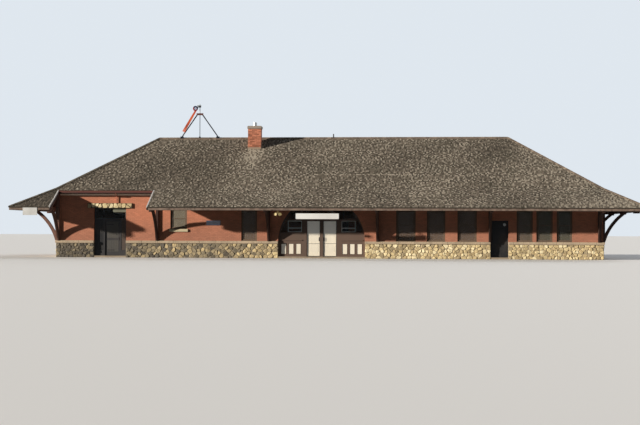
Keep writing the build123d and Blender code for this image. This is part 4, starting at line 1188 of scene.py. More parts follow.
@dataclass
class Roof(Assembly):
    """Split shakes on every slope, and cap shakes along the hips and the ridge."""

    exposure: float = 0.13
    overlap: float = 0.045
    ragged: float = 0.012
    narrowest: float = 0.03
    shortest: float = 0.05
    widths: Pair = (0.045, 0.125)
    gaps: Pair = (0.001, 0.005)
    thickness: Pair = (0.010, 0.026)
    bed: float = 0.003
    taper: float = 0.35
    seam: float = 0.001
    spread: Pair = (1.1, 1.1)
    contrast: float = 1.1
    wave: float = 0.16
    left_wing: float = -0.5
    streak_length: float = 2.6
    streak: float = 0.4
    repair: float = 0.9
    repaired: float = 0.45
    patches: Triple = (0.4, 1.1, 2.6)
    repair_slope: float = 3.9
    repair_run: Pair = (-0.7, 5.3)
    cap_step: float = 0.22
    cap_length: float = 0.30
    cap_widths: Pair = (0.12, 0.15)
    cap_lift: Pair = (0.020, 0.022)
    cap_tone: Pair = (0.35, 0.2)
    cap_fold: float = 1.15
    rng: np.random.Generator = field(default_factory=lambda: dice(0))

    def surface(self, slope: Array, lift: Array) -> tuple[Array, Array]:
        """Find the place that is a way up the slope and a lift off the deck.

        Args:
            slope: Way up the slope from the eave's edge.
            lift: Height off the deck, square to it.

        Returns:
            Distance outside the wall plane, and height.
        """
        step = 0.01
        out, ahead = self.station.out_at(slope), self.station.out_at(slope + step)
        z = self.station.deck_top(out)
        rise, back = (self.station.deck_top(ahead) - z) / step, (out - ahead) / step
        return out + lift * rise, z + lift * back

    def stretches(self, wall: Elevation, low: float) -> list[tuple[float, ...]]:
        """Find what one course covers.

        Args:
            wall: The side it is on.
            low: How far up the slope its butts are.

        Returns:
            Start and end of each stretch, the limits of its shakes and where its butts are.
        """
        station = self.station
        left, right = station.recess
        reach = wall.half + float(station.out_at(np.array(low)))
        stub = station.eave_slope * (1 - station.stub / station.overhang)
        if wall.side is not Side.FRONT or low >= stub:
            return [(-reach, reach, -FAR, FAR, low)]
        found = [(-reach, left, -FAR, left, low), (right, reach, right, FAR, low)]
        if low + self.exposure >= stub:
            found.append((left, right, left, right, stub))
        return found

    def rows(self, wall: Elevation) -> Array:
        """Lay out the shakes of one wall.

        Args:
            wall: The side they are on.

        Returns:
            Left and right end, way up the slope of the butt and of the head, and the
            ends of the stretch that each shake belongs to, as six rows.
        """
        top = self.station.slope_length
        found = []
        for low in np.arange(0.0, top - self.shortest, self.exposure):
            head = min(low + self.exposure + self.overlap, top)
            for start, end, left, right, butt in self.stretches(wall, low):
                if end - start < self.narrowest:
                    continue
                number = int((end - start) / np.mean(self.widths)) + 1
                ways = np.cumsum(self.rng.uniform(*self.widths, number))
                cuts = np.concatenate([[start], start + ways / ways[-1] * (end - start)])
                butts = butt + self.rng.uniform(-self.ragged, self.ragged, number)
                rest = np.tile([head, left, right], (number, 1))
                found.append(np.column_stack([
                    cuts[:-1], cuts[1:], butts.clip(butt if butt > low else 0), rest]))
        return np.concatenate(found).T

    def age(self, side: Side, run: Array, slope: Array) -> Array:
        """Find how far the weather has changed the tone of the shakes.

        At the front the left wing is darker, a pale streak runs down from the chimney,
        and one course has pale repairs.

        Args:
            side: The side of the roof.
            run: Place of each shake along the side.
            slope: Way of each shake up the slope.

        Returns:
            A change of tone for each shake.
        """
        change = np.zeros(len(run))
        for size in self.patches:
            ways = self.rng.uniform(-size, size, (5, 2))
            turns = self.rng.uniform(0, 2 * math.pi, 5)
            waves = np.sin(np.outer(run, ways[:, 0]) + np.outer(slope, ways[:, 1]) + turns)
            change += self.wave * waves.mean(axis=1)
        if side is not Side.FRONT:
            return change
        low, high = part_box("chimney_stack")
        middle, half = (low.x + high.x) / 2, (high.x - low.x) / 2
        foot = self.station.slope_length + 1.2 * low.y
        change += np.where(run < self.station.recess[0], self.left_wing, 0.0)
        change += 0.012 * run.clip(0) + 0.02
        streak = np.exp(-((run - middle) / half) ** 2)
        streak *= np.clip(slope - foot + self.streak_length, 0, 1)
        change += self.streak * streak * (slope < foot)
        start, end = self.repair_run
        repaired = (np.abs(slope - self.repair_slope) < self.exposure / 2) & (run > start) & (run < end)
        shares = (1 - self.repaired, self.repaired)
        return change + repaired * self.rng.choice((0.0, self.repair), len(run), p=shares)

    def apart(self, tone: Array, run: Array, slope: Array) -> Array:
        """Draw the tone of each shake away from those beside, above and below it.

        Args:
            tone: Tone of each shake.
            run: Place of each shake along the side.
            slope: Way of each shake up the slope.

        Returns:
            The new tones.
        """
        course = 1000
        key = course * np.round(slope / self.exposure) + run
        order = np.argsort(key)
        rank, last = np.argsort(order), len(key) - 1
        around = np.zeros(len(key))
        for step in (-1, 1):
            beyond = np.searchsorted(key[order], key + course * step)
            for place in (rank + step, beyond):
                around += tone[order[place.clip(0, last)]]
        return 0.485 + self.contrast * (tone - 0.5 - 0.6 * (around / 4 - 0.5))

    def slope(self, wall: Elevation) -> None:
        """Cover one side of the roof.

        Args:
            wall: The wall that it rises from.
        """
        pattern = shake_pattern()
        x, y, z = pattern.axes
        left, right, low, high, first, last = self.rows(wall)[..., None]
        gap = self.rng.uniform(*self.gaps, left.shape)
        run = left + gap / 2 + x * (right - left - gap)
        slope = low + y * (high - low)
        thick = self.rng.uniform(*self.thickness, left.shape)
        lift = (z * thick + self.bed) * (1 - self.taper * y)
        out, level = self.surface(slope, lift)
        limit = wall.half + out - 2 * self.seam * (1 - x)
        run = np.clip(run, -limit, limit)
        run = np.clip(run, first + self.seam * x, last - self.seam * (1 - x))
        out = np.minimum(out, self.station.overhang)
        middle, butt = ((left + right) / 2)[:, 0], low[:, 0]
        tone = self.apart(self.rng.beta(*self.spread, len(left)), middle, butt)
        tone = np.clip(tone + self.age(wall.side, middle, butt), 0, 1)
        obj = pattern.copies(f"shakes_{wall.label}", wall.place(run, out, level),
                             tone=tone, run=run, rise=slope)
        self.piece("shakes").settle(obj)

    def caps(self, name: str, ends: list[Vector], ways: tuple[Vector, Vector], pitch: float,
             finish: str) -> None:
        """Lay cap shakes along a hip or the ridge.

        Args:
            name: Name of the piece.
            ends: Low and high end of the line.
            ways: Level directions in which the two slopes that meet there fall.
            pitch: Rise of both slopes for each metre.
            finish: Name of their finish.
        """
        pattern = saddle_pattern()
        x, y, z = pattern.axes[..., None]
        start, line = ends[0], ends[1] - ends[0]
        length, along = line.length, line.normalized()
        sides = [(way * pitch + UP).normalized() for way in ways]
        if sides[0].cross(along).z > 0:
            sides.reverse()
        legs = sides[0].cross(along), along.cross(sides[1])
        fold = (sides[0] + sides[1]).normalized() * self.cap_fold
        lows = np.arange(0, length - 0.1, self.cap_step)[:, None, None]
        tone = np.clip(self.rng.normal(*self.cap_tone, len(lows)), 0, 1)
        width = self.rng.uniform(*self.cap_widths, lows.shape)
        way = np.minimum(lows + y * self.cap_length, length)
        leg = np.where(x < 0, np.array(legs[0]), np.array(legs[1]))
        normal = np.where(x < -0.01, np.array(sides[0]), np.array(sides[1]))
        normal = np.where(np.abs(x) <= 0.01, np.array(fold), normal)
        lift = self.cap_lift[0] + z * self.cap_lift[1]
        points = (np.array(start) + np.array(along) * way + leg * np.abs(x) * width
                  + normal * lift)
        reach = self.station.overhang
        box = np.array([self.station.half_length + reach, self.station.half_width + reach, FAR])
        points = np.clip(points, -box, box)
        obj = pattern.copies(name, points, tone=tone, run=points[..., 0], rise=points[..., 2])
        self.piece(finish, "shakes").settle(obj)

    def build(self) -> None:
        """Shake the four slopes, and cap the four hips on both pitches and the ridge."""
        station = self.station
        for wall in station.walls:
            self.slope(wall)
        levels = ((station.overhang, station.eave_z), (0.0, station.break_z),
                  (-station.half_width, station.ridge_z))
        for label, sx, sy in (("fl", -1, -1), ("fr", 1, -1), ("rl", -1, 1), ("rr", 1, 1)):
            line = [Vector((sx * (station.half_length + out), sy * (station.half_width + out), z))
                    for out, z in levels]
            ways = Vector((sx, 0, 0)), Vector((0, sy, 0))
            for part, pitch in enumerate((station.eave_pitch, station.pitch)):
                # The left hips take the darker shakes as painted shade, and the right hips the paler
                # ridge shakes as painted light.
                self.caps(f"hip_caps_{label}_{part}", line[part:part + 2], ways, pitch,
                          "shakes" if sx < 0 else "ridge")
        half = station.half_length - station.half_width
        line = [Vector((x, 0, station.ridge_z)) for x in (-half, half)]
        self.caps("ridge_shakes", line, (FORWARD, -FORWARD), station.pitch, "ridge")


@dataclass
class Brickwork(Assembly):
    """Painted bricks in running bond, with a ring of bricks round the entrance arch."""

    joint: float = 0.008
    bed: float = 0.004
    proud: float = 0.0022
    uneven: float = 0.0007
    shortest: float = 0.03
    ring: float = 0.23
    ring_joint: float = 0.12
    rng: np.random.Generator = field(default_factory=lambda: dice(1))

    def courses(self, wall: Elevation) -> Array:
        """Lay out the bricks of one wall.

        Args:
            wall: The wall.

        Returns:
            Left, right, bottom and top of each brick, as four rows.
        """
        found = []
        long, tall = BRICK_PITCH
        top = self.station.break_z - self.station.deck
        for index, low in enumerate(np.arange(self.station.cap_top, top, tall)):
            high, shift = min(low + tall, top), long / 2 * (index % 2)
            for start, end in self.openings.solid(wall, low, high, self.ring):
                first = math.floor((start - shift) / long) * long + shift
                for place in np.arange(first, end, long):
                    left, right = max(place, start), min(place + long, end)
                    if right - left > self.shortest:
                        found.append((left, right, low, high))
        return np.array(found).T

    def lay(self, name: str, wall: Elevation, run: Array, proud: Array | float,
            z: Array) -> None:
        """Join bricks into one piece.

        Args:
            name: Name of the piece.
            wall: The wall that they are on.
            run: Run of each point of each brick.
            proud: How far their faces stand proud of the wall.
            z: Height of each point of each brick.
        """
        y = brick_pattern().axes[1]
        out = -self.station.wall_set - self.bed + (1 - y) * proud
        obj = brick_pattern().copies(name, wall.place(run, out, z),
                                     tone=self.rng.uniform(0, 1, len(run)))
        self.piece("brick").settle(obj)

    def build(self) -> None:
        """Face all the walls, and stand a ring of bricks on end round the arch."""
        x, _, z = brick_pattern().axes
        inset = self.joint / 2
        for wall in self.station.walls:
            left, right, low, high = self.courses(wall)[..., None]
            run = left + inset + x * (right - left - self.joint)
            level = low + inset + z * (high - low - self.joint)
            proud = self.proud + self.rng.uniform(-self.uneven, self.uneven, left.shape)
            self.lay(f"bricks_{wall.label}", wall, run, proud + self.bed, level)
        centre, foot, radius = self.openings.arch
        number = int(math.pi * radius / BRICK_PITCH[1])
        share = self.ring_joint / 2 + (1 - self.ring_joint) * z
        angle = (np.arange(number)[:, None] + share) * math.pi / number
        depth = radius + inset + x * (self.ring - self.joint)
        self.lay("arch_bricks", self.station.front, centre - depth * np.cos(angle),
                 self.proud + 0.006, foot + depth * np.sin(angle))


@dataclass
class Fieldstone(Assembly):
    """Irregular rock-faced stones in mortar, round the foot of the walls."""

    size: Pair = (0.25, 0.17)
    joint: float = 0.016
    proud: Pair = (0.020, 0.046)
    reach: Pair = (0.012, 0.34)
    density: Pair = (0.7, 1.3)
    places: Pair = (0.15, 0.85)
    stray: float = 0.32
    shrink: Pair = (0.86, 1.0)
    crown: Pair = (0.84, 1.04)
    height: float = 0.75
    tilt: float = 0.38
    rough: Pair = (0.88, 1.1)
    bed: float = 0.004
    tone: float = 0.64
    # How much darker the front's stones are painted towards the left end, as painted shade.
    drift: float = 0.7
    drift_end: float = 0.1
    spread: Pair = (1.3, 1.3)
    contrast: float = 0.7
    neighbours: int = 12
    rng: np.random.Generator = field(default_factory=lambda: dice(2))

    def seeds(self, area: Rect) -> Array:
        """Scatter stone centres over an area, in loose courses.

        Args:
            area: Its left, right, bottom and top.

        Returns:
            Run and height of each centre.
        """
        left, right, bottom, top = area
        wide, tall = self.size
        rows = max(1, round((top - bottom) / tall))
        points = []
        for row in range(rows):
            z = bottom + (row + 0.5) * (top - bottom) / rows
            count = max(1, round((right - left) / wide * self.rng.uniform(*self.density)))
            shares = (np.arange(count) + self.rng.uniform(*self.places, count)) / count
            heights = z + self.rng.uniform(-self.stray, self.stray, count) * tall
            points.append(np.stack([left + shares * (right - left), heights], axis=1))
        return np.concatenate(points)

    def radii(self, seeds: Array, ways: Array, area: Rect) -> Array:
        """Find how far each stone reaches in each way before it meets its neighbours.

        Args:
            seeds: Centres of the stones.
            ways: Unit directions.
            area: Left, right, bottom and top of the area.

        Returns:
            One reach for each stone and way.
        """
        least = 1e-6
        apart = seeds[None] - seeds[:, None]
        square = (apart ** 2).sum(-1)
        near = np.argsort(square, axis=1)[:, 1:self.neighbours + 1]
        apart = np.take_along_axis(apart, near[..., None], axis=1)
        square = np.take_along_axis(square, near, axis=1)
        along = np.einsum("nkd,wd->nkw", apart, ways)
        with np.errstate(divide="ignore", invalid="ignore"):
            reach = np.where(along > least, square[..., None] / 2 / along, np.inf).min(axis=1)
            for axis, low, high in ((0, *area[:2]), (1, *area[2:])):
                way = ways[None, :, axis]
                room = (np.where(way > 0, high, low) - seeds[:, axis:axis + 1]) / way
                reach = np.minimum(reach, np.where(np.abs(way) > least, room, FAR))
        return np.clip(reach - self.joint / 2, *self.reach)

    def cover(self, wall: Elevation, area: Rect, mortar: float) -> tuple[Array, Array]:
        """Cover one area with stones.

        Args:
            wall: The side it is on.
            area: Its left, right, bottom and top.
            mortar: Distance of the mortar outside the wall plane.

        Returns:
            Points and tone of each stone.
        """
        x, y, z = stone_pattern().axes
        length = np.hypot(x, z)
        angles = np.arctan2(z, x)[0]
        ways = np.stack([np.cos(angles), np.sin(angles)], axis=1)
        seeds = self.seeds(area)
        number = len(seeds)
        radius = self.radii(seeds, ways, area)
        soft = radius * self.rng.uniform(*self.shrink, radius.shape)
        crown = y < -0.7
        pull = self.rng.uniform(*self.crown, radius.shape)
        reach = soft * length * np.where(crown, pull, 1.0)
        proud = self.rng.uniform(*self.proud, (number, 1))
        tilt = self.rng.uniform(-self.tilt, self.tilt, (number, 2))
        rough = self.height + tilt[:, :1] * x + tilt[:, 1:] * z
        rough = rough * self.rng.uniform(*self.rough, radius.shape)
        out = mortar - self.bed + proud * -y * np.where(crown, rough, 1.0)
        points = wall.place(seeds[:, :1] + reach * ways[:, 0], out,
                            seeds[:, 1:] + reach * ways[:, 1])
        # On the front the stones are painted darker towards the left end, as painted shade of the
        # shadow over that end of the base.
        share = seeds[:, 0] / self.station.half_length if wall.side is Side.FRONT else 0.0
        middle = self.tone + self.drift * np.minimum(share, self.drift_end)
        tone = middle + self.contrast * (self.rng.beta(*self.spread, number) - 0.5)
        return points, np.clip(tone, 0, 1)

    def face(self, name: str, wall: Elevation, areas: list[Rect], mortar: float = 0.0) -> None:
        """Cover areas of one side with stones.

        Args:
            name: Name of the piece.
            wall: The side.
            areas: Left, right, bottom and top of each area.
            mortar: Distance of the mortar outside the wall plane.
        """
        points, tones = zip(*(self.cover(wall, area, mortar) for area in areas))
        obj = stone_pattern().copies(name, np.concatenate(points), tone=np.concatenate(tones))
        self.piece("stone").settle(obj)

    def build(self) -> None:
        """Face the base on all sides."""
        for wall in self.station.walls:
            areas = [(*stretch, 0.0, self.station.base_top) for stretch in self.openings.base(wall)]
            self.face(f"fieldstones_{wall.label}", wall, areas)


@dataclass
class Lintel(Assembly):
    """Upright rock-faced stones over the freight doorway."""

    width: float = 0.16

    def build(self) -> None:
        """Stand the stones in one row on the lintel."""
        low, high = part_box("freight_lintel")
        stones = Fieldstone(self.station, self.finishes, self.openings,
                            size=(self.width, high.z - low.z), joint=0.024, proud=(0.018, 0.034),
                            tone=0.8, drift=0.0, rng=dice(4))
        stones.face("lintel_stones", self.station.front, [(low.x, high.x, low.z, high.z)],
                    -low.y - self.station.half_width)


@dataclass
class Boards:
    """Gathers chamfered boards of one piece, given as boxes on a wall."""

    name: str
    piece: Piece
    bevel: float = 0.004
    seam: float = 0.002
    boxes: list[tuple[Elevation, Triple, Triple]] = field(default_factory=list)

    def add(self, wall: Elevation, run: Pair, out: Pair, z: Pair) -> None:
        """Add one board between two runs, two distances out and two heights."""
        self.boxes.append((wall, (run[0], -out[1], z[0]), (run[1], -out[0], z[1])))

    def fill(self, wall: Elevation, rows: Rows, run: float = 0.0, out: float = 0.0) -> None:
        """Add the boards of a table: two runs, two distances out and two heights of each."""
        for left, right, near, far, low, high in rows:
            self.add(wall, (run + left, run + right), (out + near, out + far), (low, high))

    def row(self, wall: Elevation, cuts: Array, out: Pair, z: Pair) -> None:
        """Add upright boards side by side, with a fine seam between them."""
        for left, right in zip(cuts, cuts[1:]):
            self.add(wall, (left + self.seam, right - self.seam), out, z)

    def frame(self, wall: Elevation, rect: Rect, out: Pair, bar: float) -> None:
        """Add four boards round the inside of a rectangle.

        Args:
            wall: The side they are on.
            rect: Left, right, bottom and top of the rectangle.
            out: Nearest and farthest distance out.
            bar: Width of the boards.
        """
        left, right, low, high = rect
        for run in ((left, left + bar), (right - bar, right)):
            self.add(wall, run, out, (low, high))
        for z in ((low, low + bar), (high - bar, high)):
            self.add(wall, (left + bar, right - bar), out, z)

    def build(self) -> None:
        """Join the boards into one piece."""
        sides, low, high = zip(*self.boxes)
        low, high = np.array(low), np.array(high)
        bevel = np.minimum(self.bevel, (high - low).min(axis=1) * 0.3)[:, None, None]
        places = np.stack([side.place(box[:, 0], -box[:, 1], box[:, 2])
                           for side, box in zip(sides, fit_boards(low, high, bevel))])
        tone = dice(len(low)).uniform(0, 1, len(low))
        self.piece.settle(board_pattern().copies(self.name, places, tone=tone))


@dataclass
class Studs:
    """Gathers bolt heads of one size, given as places on a wall."""

    name: str
    piece: Piece
    radius: float
    height: float
    places: list[Array] = field(default_factory=list)

    def add(self, wall: Elevation, run: float, out: float, z: float) -> None:
        """Add one bolt head that stands on a surface some way out."""
        x, y, up = (bolt_pattern().points * (self.radius, self.height, self.radius)).T
        self.places.append(wall.place(run + x, out - y, z + up))

    def build(self) -> None:
        """Join the bolt heads into one piece."""
        self.piece.settle(bolt_pattern().copies(self.name, np.array(self.places)))


def softened(node: str, piece: Piece, width: float) -> None:
    """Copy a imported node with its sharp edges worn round, and show the copy in its place.

    Args:
        node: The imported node.
        piece: How the copy joins the model.
        width: How far the edges are worn.
    """
    obj = bpy.data.objects.new(f"worn_{node}", frame["nodes"][node].data.copy())
    bpy.context.scene.collection.objects.link(obj)
    with editing(obj):
        bpy.ops.mesh.select_all(action="SELECT")
        bpy.ops.mesh.remove_doubles(threshold=0.0001)
        bpy.ops.mesh.dissolve_limited(angle_limit=math.radians(1))
        bpy.ops.mesh.select_all(action="DESELECT")
        bpy.ops.mesh.select_mode(type="EDGE")
        bpy.ops.mesh.edges_select_sharp(sharpness=math.radians(50))
        bpy.ops.mesh.bevel(offset=width, segments=1, affect="EDGES", clamp_overlap=True)
    piece.settle(obj, node)


@dataclass
class CapCourse(Assembly):
    """Dressed blocks along the top of the fieldstone, with open upright joints."""

    length: float = 0.92
    uneven: float = 0.12
    joint: float = 0.008
    proud: float = 0.006

    def build(self) -> None:
        """Lay the blocks on all sides."""
        station = self.station
        boards = Boards("cap_blocks", self.piece("cap_stone"), 0.012)
        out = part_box("base_cap")[1].x - station.half_length + self.proud
        z = station.base_top + 0.003, station.cap_top + 0.004
        rng = dice(3)
        for wall in station.walls:
            corner = out if wall.side.long else 0.0
            for start, end in self.openings.base(wall):
                start -= corner if start <= -wall.half else 0
                end += corner if end >= wall.half else 0
                number = max(1, round((end - start) / self.length))
                cuts = np.linspace(start, end, number + 1)
                cuts[1:-1] += rng.uniform(-self.uneven, self.uneven, number - 1)
                for left, right in zip(cuts, cuts[1:]):
                    run = left + self.joint / 2, right - self.joint / 2
                    boards.add(wall, run, (-0.02, out + rng.uniform(-0.003, 0.003)), z)
        boards.build()


@dataclass
class Windows(Assembly):
    """Sashes, meeting rails and beads in front of the window glass."""

    face: float = -0.074
    thick: float = 0.012
    bar: float = 0.07
    stile: float = 0.045

    def build(self) -> None:
        """Fit sashes to every window."""
        boards = Boards("window_sashes", self.piece("window_paint"))
        back, face, half = self.face - self.thick, self.face, self.stile / 2
        for wall in self.station.walls:
            for left, right, low, high in self.openings.windows(wall):
                run, middle = (left + self.bar, right - self.bar), (low + high) / 2
                lower = (*run, low + self.bar, middle + half)
                upper = (*run, middle - half, high - self.bar)
                boards.frame(wall, lower, (back, face), self.stile)
                boards.frame(wall, upper, (back, face - 0.002), self.stile)
                boards.add(wall, (left - 0.004, right + 0.004), (-0.075, -0.035),
                           (low, low + 0.035))
        boards.build()


@dataclass
class Chimney(Assembly):
    """Bare bricks on the four faces of the stack, with flashing where it leaves the roof."""

    joint: float = 0.010
    proud: float = 0.004
    sunk: float = 0.02
    shown: float = 1.3
    steps: int = 6

    def faces(self) -> list[Elevation]:
        """Find the four faces of the stack above the roof.

        Returns:
            The faces, in the order of the sides.
        """
        low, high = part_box("chimney_stack")
        middle, half = (low + high) / 2, (high - low) / 2
        return [Elevation(side, *((half.y, half.x) if side.long else (half.x, half.y)),
                          (middle.x, middle.y)) for side in Side]

    def bricks(self) -> None:
        """Face the stack with bricks."""
        top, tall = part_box("chimney_stack")[1].z, BRICK_PITCH[1]
        rows = math.ceil((top - self.station.ridge_z + self.shown) / tall)
        x, y, up = brick_pattern().points.T
        level, out = self.joint / 2 + up * (tall - self.joint), (1 - y) * (self.proud + self.sunk)
        places = []
        for index, z in enumerate(np.arange(top - rows * tall, top - 0.01, tall)):
            for turn, wall in enumerate(self.faces()):
                half = wall.half + self.proud
                cuts = np.linspace(-half, half, 4 if wall.half > 0.35 else 3)
                if (index + turn) % 2:
                    cuts = np.concatenate([[-half], cuts[:-1] + (cuts[1] - cuts[0]) / 2, [half]])
                for left, right in zip(cuts, cuts[1:]):
                    run = left + self.joint / 2 + x * (right - left - self.joint)
                    places.append(wall.place(run, out - self.sunk, z + level))
        obj = brick_pattern().copies("chimney_bricks", np.array(places),
                                     tone=dice(5).uniform(0, 1, len(places)))
        self.piece("chimney_brick").settle(obj)

    def flashing(self) -> None:
        """Lay sheet metal up the foot of the stack, in steps on its sloping sides."""
        boards = Boards("chimney_flashing", self.piece("lead", "flue"), 0.002)
        for wall in self.faces():
            step = 2 * wall.half / self.steps
            for index in range(self.steps):
                left = -wall.half + index * step
                middle = wall.place(left + step / 2, 0.02, 0.0)
                deck = self.station.ridge_z - self.station.pitch * abs(middle[1])
                boards.add(wall, (left - 0.006, left + step + 0.006), (0.003, 0.009),
                           (deck - 0.05, deck + 0.12))
        boards.build()

    def build(self) -> None:
        """Brick the stack and flash its foot."""
        self.bricks()
        self.flashing()


@dataclass
class Soffit(Assembly):
    """Rafters and boards under the overhang, cut to the hips."""

    pitch: float = 0.61
    width: float = 0.045
    depth: float = 0.10
    board: float = 0.14
    thick: float = 0.012
    edge: float = 0.06
    plate: float = 0.30

    def strips(self, name: str, finish: str, rows: list[tuple], thickness: float) -> None:
        """Join sloping strips under the deck into one piece.

        Args:
            name: Name of the piece.
            finish: Name of its finish.
            rows: Wall, left, right, near and far distance out of each strip.
            thickness: How far they hang under the deck.
        """
        low = np.array([(left, -far, 0.0) for _, left, _, _, far in rows])
        high = np.array([(right, -near, thickness) for _, _, right, near, _ in rows])
        places = []
        for (wall, *_), box in zip(rows, fit_boards(low, high, 0.004)):
            out = -box[:, 1]
            run = np.clip(box[:, 0], -(wall.half + out), wall.half + out)
            under = self.station.deck_top(out) - self.station.deck
            places.append(wall.place(run, out, under - thickness + box[:, 2] - 0.001))
        obj = board_pattern().copies(name, np.array(places),
                                     tone=dice(6).uniform(0, 1, len(places)))
        self.piece(finish, "timber").settle(obj)

    def rafters(self, wall: Elevation) -> Iterator[tuple]:
        """Place the rafters of one side, which stop at the plate and at the hips.

        Args:
            wall: The side.

        Yields:
            Wall, left, right, near and far distance out.
        """
        start, end = self.station.recess
        plate = self.station.overhang - self.plate
        number = int((wall.half + self.station.overhang - self.edge) / self.pitch)
        for run in np.arange(-number, number + 1) * self.pitch:
            near = max(-0.02, abs(run) + 0.03 - wall.half)
            open_bay = wall.side is Side.FRONT and start < run < end
            if near < plate - 0.15 and not open_bay:
                yield wall, *about(run, self.width / 2), near, plate

    def boards(self, wall: Elevation) -> Iterator[tuple]:
        """Place the boards of one side, which end at the open bay over the freight doorway.

        Args:
            wall: The side.

        Yields:
            Wall, left, right, near and far distance out.
        """
        start, end = self.station.recess
        reach = self.station.overhang - self.edge
        for near in np.arange(-0.01, reach - 0.02, self.board):
            far, half = min(near + self.board - 0.004, reach), wall.half + near
            cut = wall.side is Side.FRONT and far > self.station.stub
            for run in ((-half, start), (end, half)) if cut else ((-half, half),):
                yield wall, *run, near, far

    def build(self) -> None:
        """Line the overhang on all sides."""
        rafters = [row for wall in self.station.walls for row in self.rafters(wall)]
        boards = [row for wall in self.station.walls for row in self.boards(wall)]
        self.strips("soffit_rafters", "timber", rafters, self.depth)
        self.strips("soffit_boards", "soffit", boards, self.thick)


@dataclass
class Entrance(Assembly):
    """Panels, beads and furniture of the arched screen and its two leaves."""

    leaf: Pair = (0.085, 0.851)
    face: float = -0.205
    post: float = 0.33
    panel: Pair = (0.29, 0.42)
    panel_lap: float = 0.012
    panel_board: Rows = ((0.012, 0.278, -0.182, -0.168, 0.252, 0.818),)
    panel_bead: Rect = (-0.166, -0.152, 0.228, 0.842)
    bead: float = 0.016
    edge: float = 0.022
    edge_rect: Rect = (0.009, 0.757, 0.118, 2.138)
    edge_out: Pair = (-0.001, 0.004)
    leaf_rail: Rows = ((0.038, 0.728, 0.0, 0.003, 0.838, 0.856),)
    leaf_panels: Rows = ((0.113, 0.653, -0.012, -0.003, 0.345, 0.775),
                         (0.113, 0.653, -0.012, -0.003, 0.915, 2.015))
    handle_set: float = 0.055
    radius: float = 2.40
    bars: float = 0.62
    bar_half: float = 0.014
    bar_out: Pair = (-0.196, -0.176)
    bar_low: float = 2.235
    bar_over: float = 0.01
    rails: Rows = (
        (-1.95, -1.91, -0.196, -0.170, 1.485, 2.155), (-2.38, -1.10, -0.164, -0.120, 1.415, 1.455),
        (1.91, 1.95, -0.196, -0.170, 1.485, 2.155), (1.10, 2.38, -0.164, -0.120, 1.415, 1.455),
        (-2.30, 2.30, -0.162, -0.135, 2.165, 2.225), (-2.36, -1.10, -0.162, -0.130, 1.00, 1.06),
        (1.10, 2.36, -0.162, -0.130, 1.00, 1.06))
    sidelight: Pair = (1.135, 1.93)
    sash: float = 0.03
    sash_frame: Rect = (-0.190, -0.166, 1.50, 2.14)
    sash_rail: Rows = ((0.03, 0.765, -0.188, -0.158, 1.705, 1.745),)
    handle: Rows = (
        (-0.020, 0.020, 0.000, 0.005, 0.980, 1.200), (-0.009, 0.009, 0.004, 0.045, 1.000, 1.020),
        (-0.009, 0.009, 0.004, 0.045, 1.160, 1.180), (-0.010, 0.010, 0.036, 0.054, 0.995, 1.185))

    @property
    def centre(self) -> float:
        """Middle of the arch."""
        return self.openings.arch[0]

    def panels(self) -> None:
        """Set white boards into the sunk fields of the bulkheads."""
        front, (wide, step) = self.station.front, self.panel
        boards = Boards("bulkhead_panels", self.piece("entrance_door"))
        beads = Boards("bulkhead_beads", self.piece("entrance"), 0.006)
        for way in (-1, 1):
            for index in range(3):
                near = self.leaf[1] + self.post + index * step
                left, right = beside(self.centre, way, near, near + wide)
                boards.fill(front, self.panel_board, left)
                run = left - self.panel_lap, right + self.panel_lap
                beads.frame(front, (*run, *self.panel_bead[2:]), self.panel_bead[:2], self.bead)
        boards.build()
        beads.build()

    def leaves(self) -> None:
        """Dress each leaf with panel boards, dark edge strips, a rail and a handle."""
        front, face = self.station.front, self.face
        for way, body in ((-1, "entrance_door_left"), (1, "entrance_door_right")):
            hung = beside(self.centre, way, *self.leaf)[0]
            left, right, low, high = self.edge_rect
            edge = Boards(f"{body}_edges", self.piece("door", "entrance", body), 0.002)
            edge.frame(front, (hung + left, hung + right, low, high),
                       (face + self.edge_out[0], face + self.edge_out[1]), self.edge)
            edge.fill(front, self.leaf_rail, hung, face)
            edge.build()
            panel = Boards(f"{body}_panels", self.piece("entrance_door", body=body), 0.006)
            panel.fill(front, self.leaf_panels, hung, face)
            panel.build()
            handle = Boards(f"{body}_handle", self.piece("steel", body=body))
            place = self.centre + way * (self.leaf[0] + self.handle_set)
            handle.fill(front, self.handle, place, face)
            handle.build()

    def glazing(self) -> None:
        """Bed beads round the sidelights and bars in the lunette."""
        front, centre = self.station.front, self.centre
        bars = Boards("lunette_bars", self.piece("entrance"))
        for index in range(-3, 4):
            off = index * self.bars
            top = self.openings.arch[1] + math.sqrt(self.radius ** 2 - off ** 2)
            bars.add(front, about(centre + off, self.bar_half), self.bar_out,
                     (self.bar_low, top + self.bar_over))
        sashes = Boards("sidelight_sashes", self.piece("sidelight", "window_paint"))
        for way in (-1, 1):
            left, right = beside(centre, way, *self.sidelight)
            sashes.frame(front, (left, right, *self.sash_frame[2:]), self.sash_frame[:2], self.sash)
            sashes.fill(front, self.sash_rail, left)
        sashes.build()
        bars.fill(front, self.rails, centre)
        bars.build()

    def build(self) -> None:
        """Dress the whole entrance."""
        self.panels()
        self.leaves()
        self.glazing()


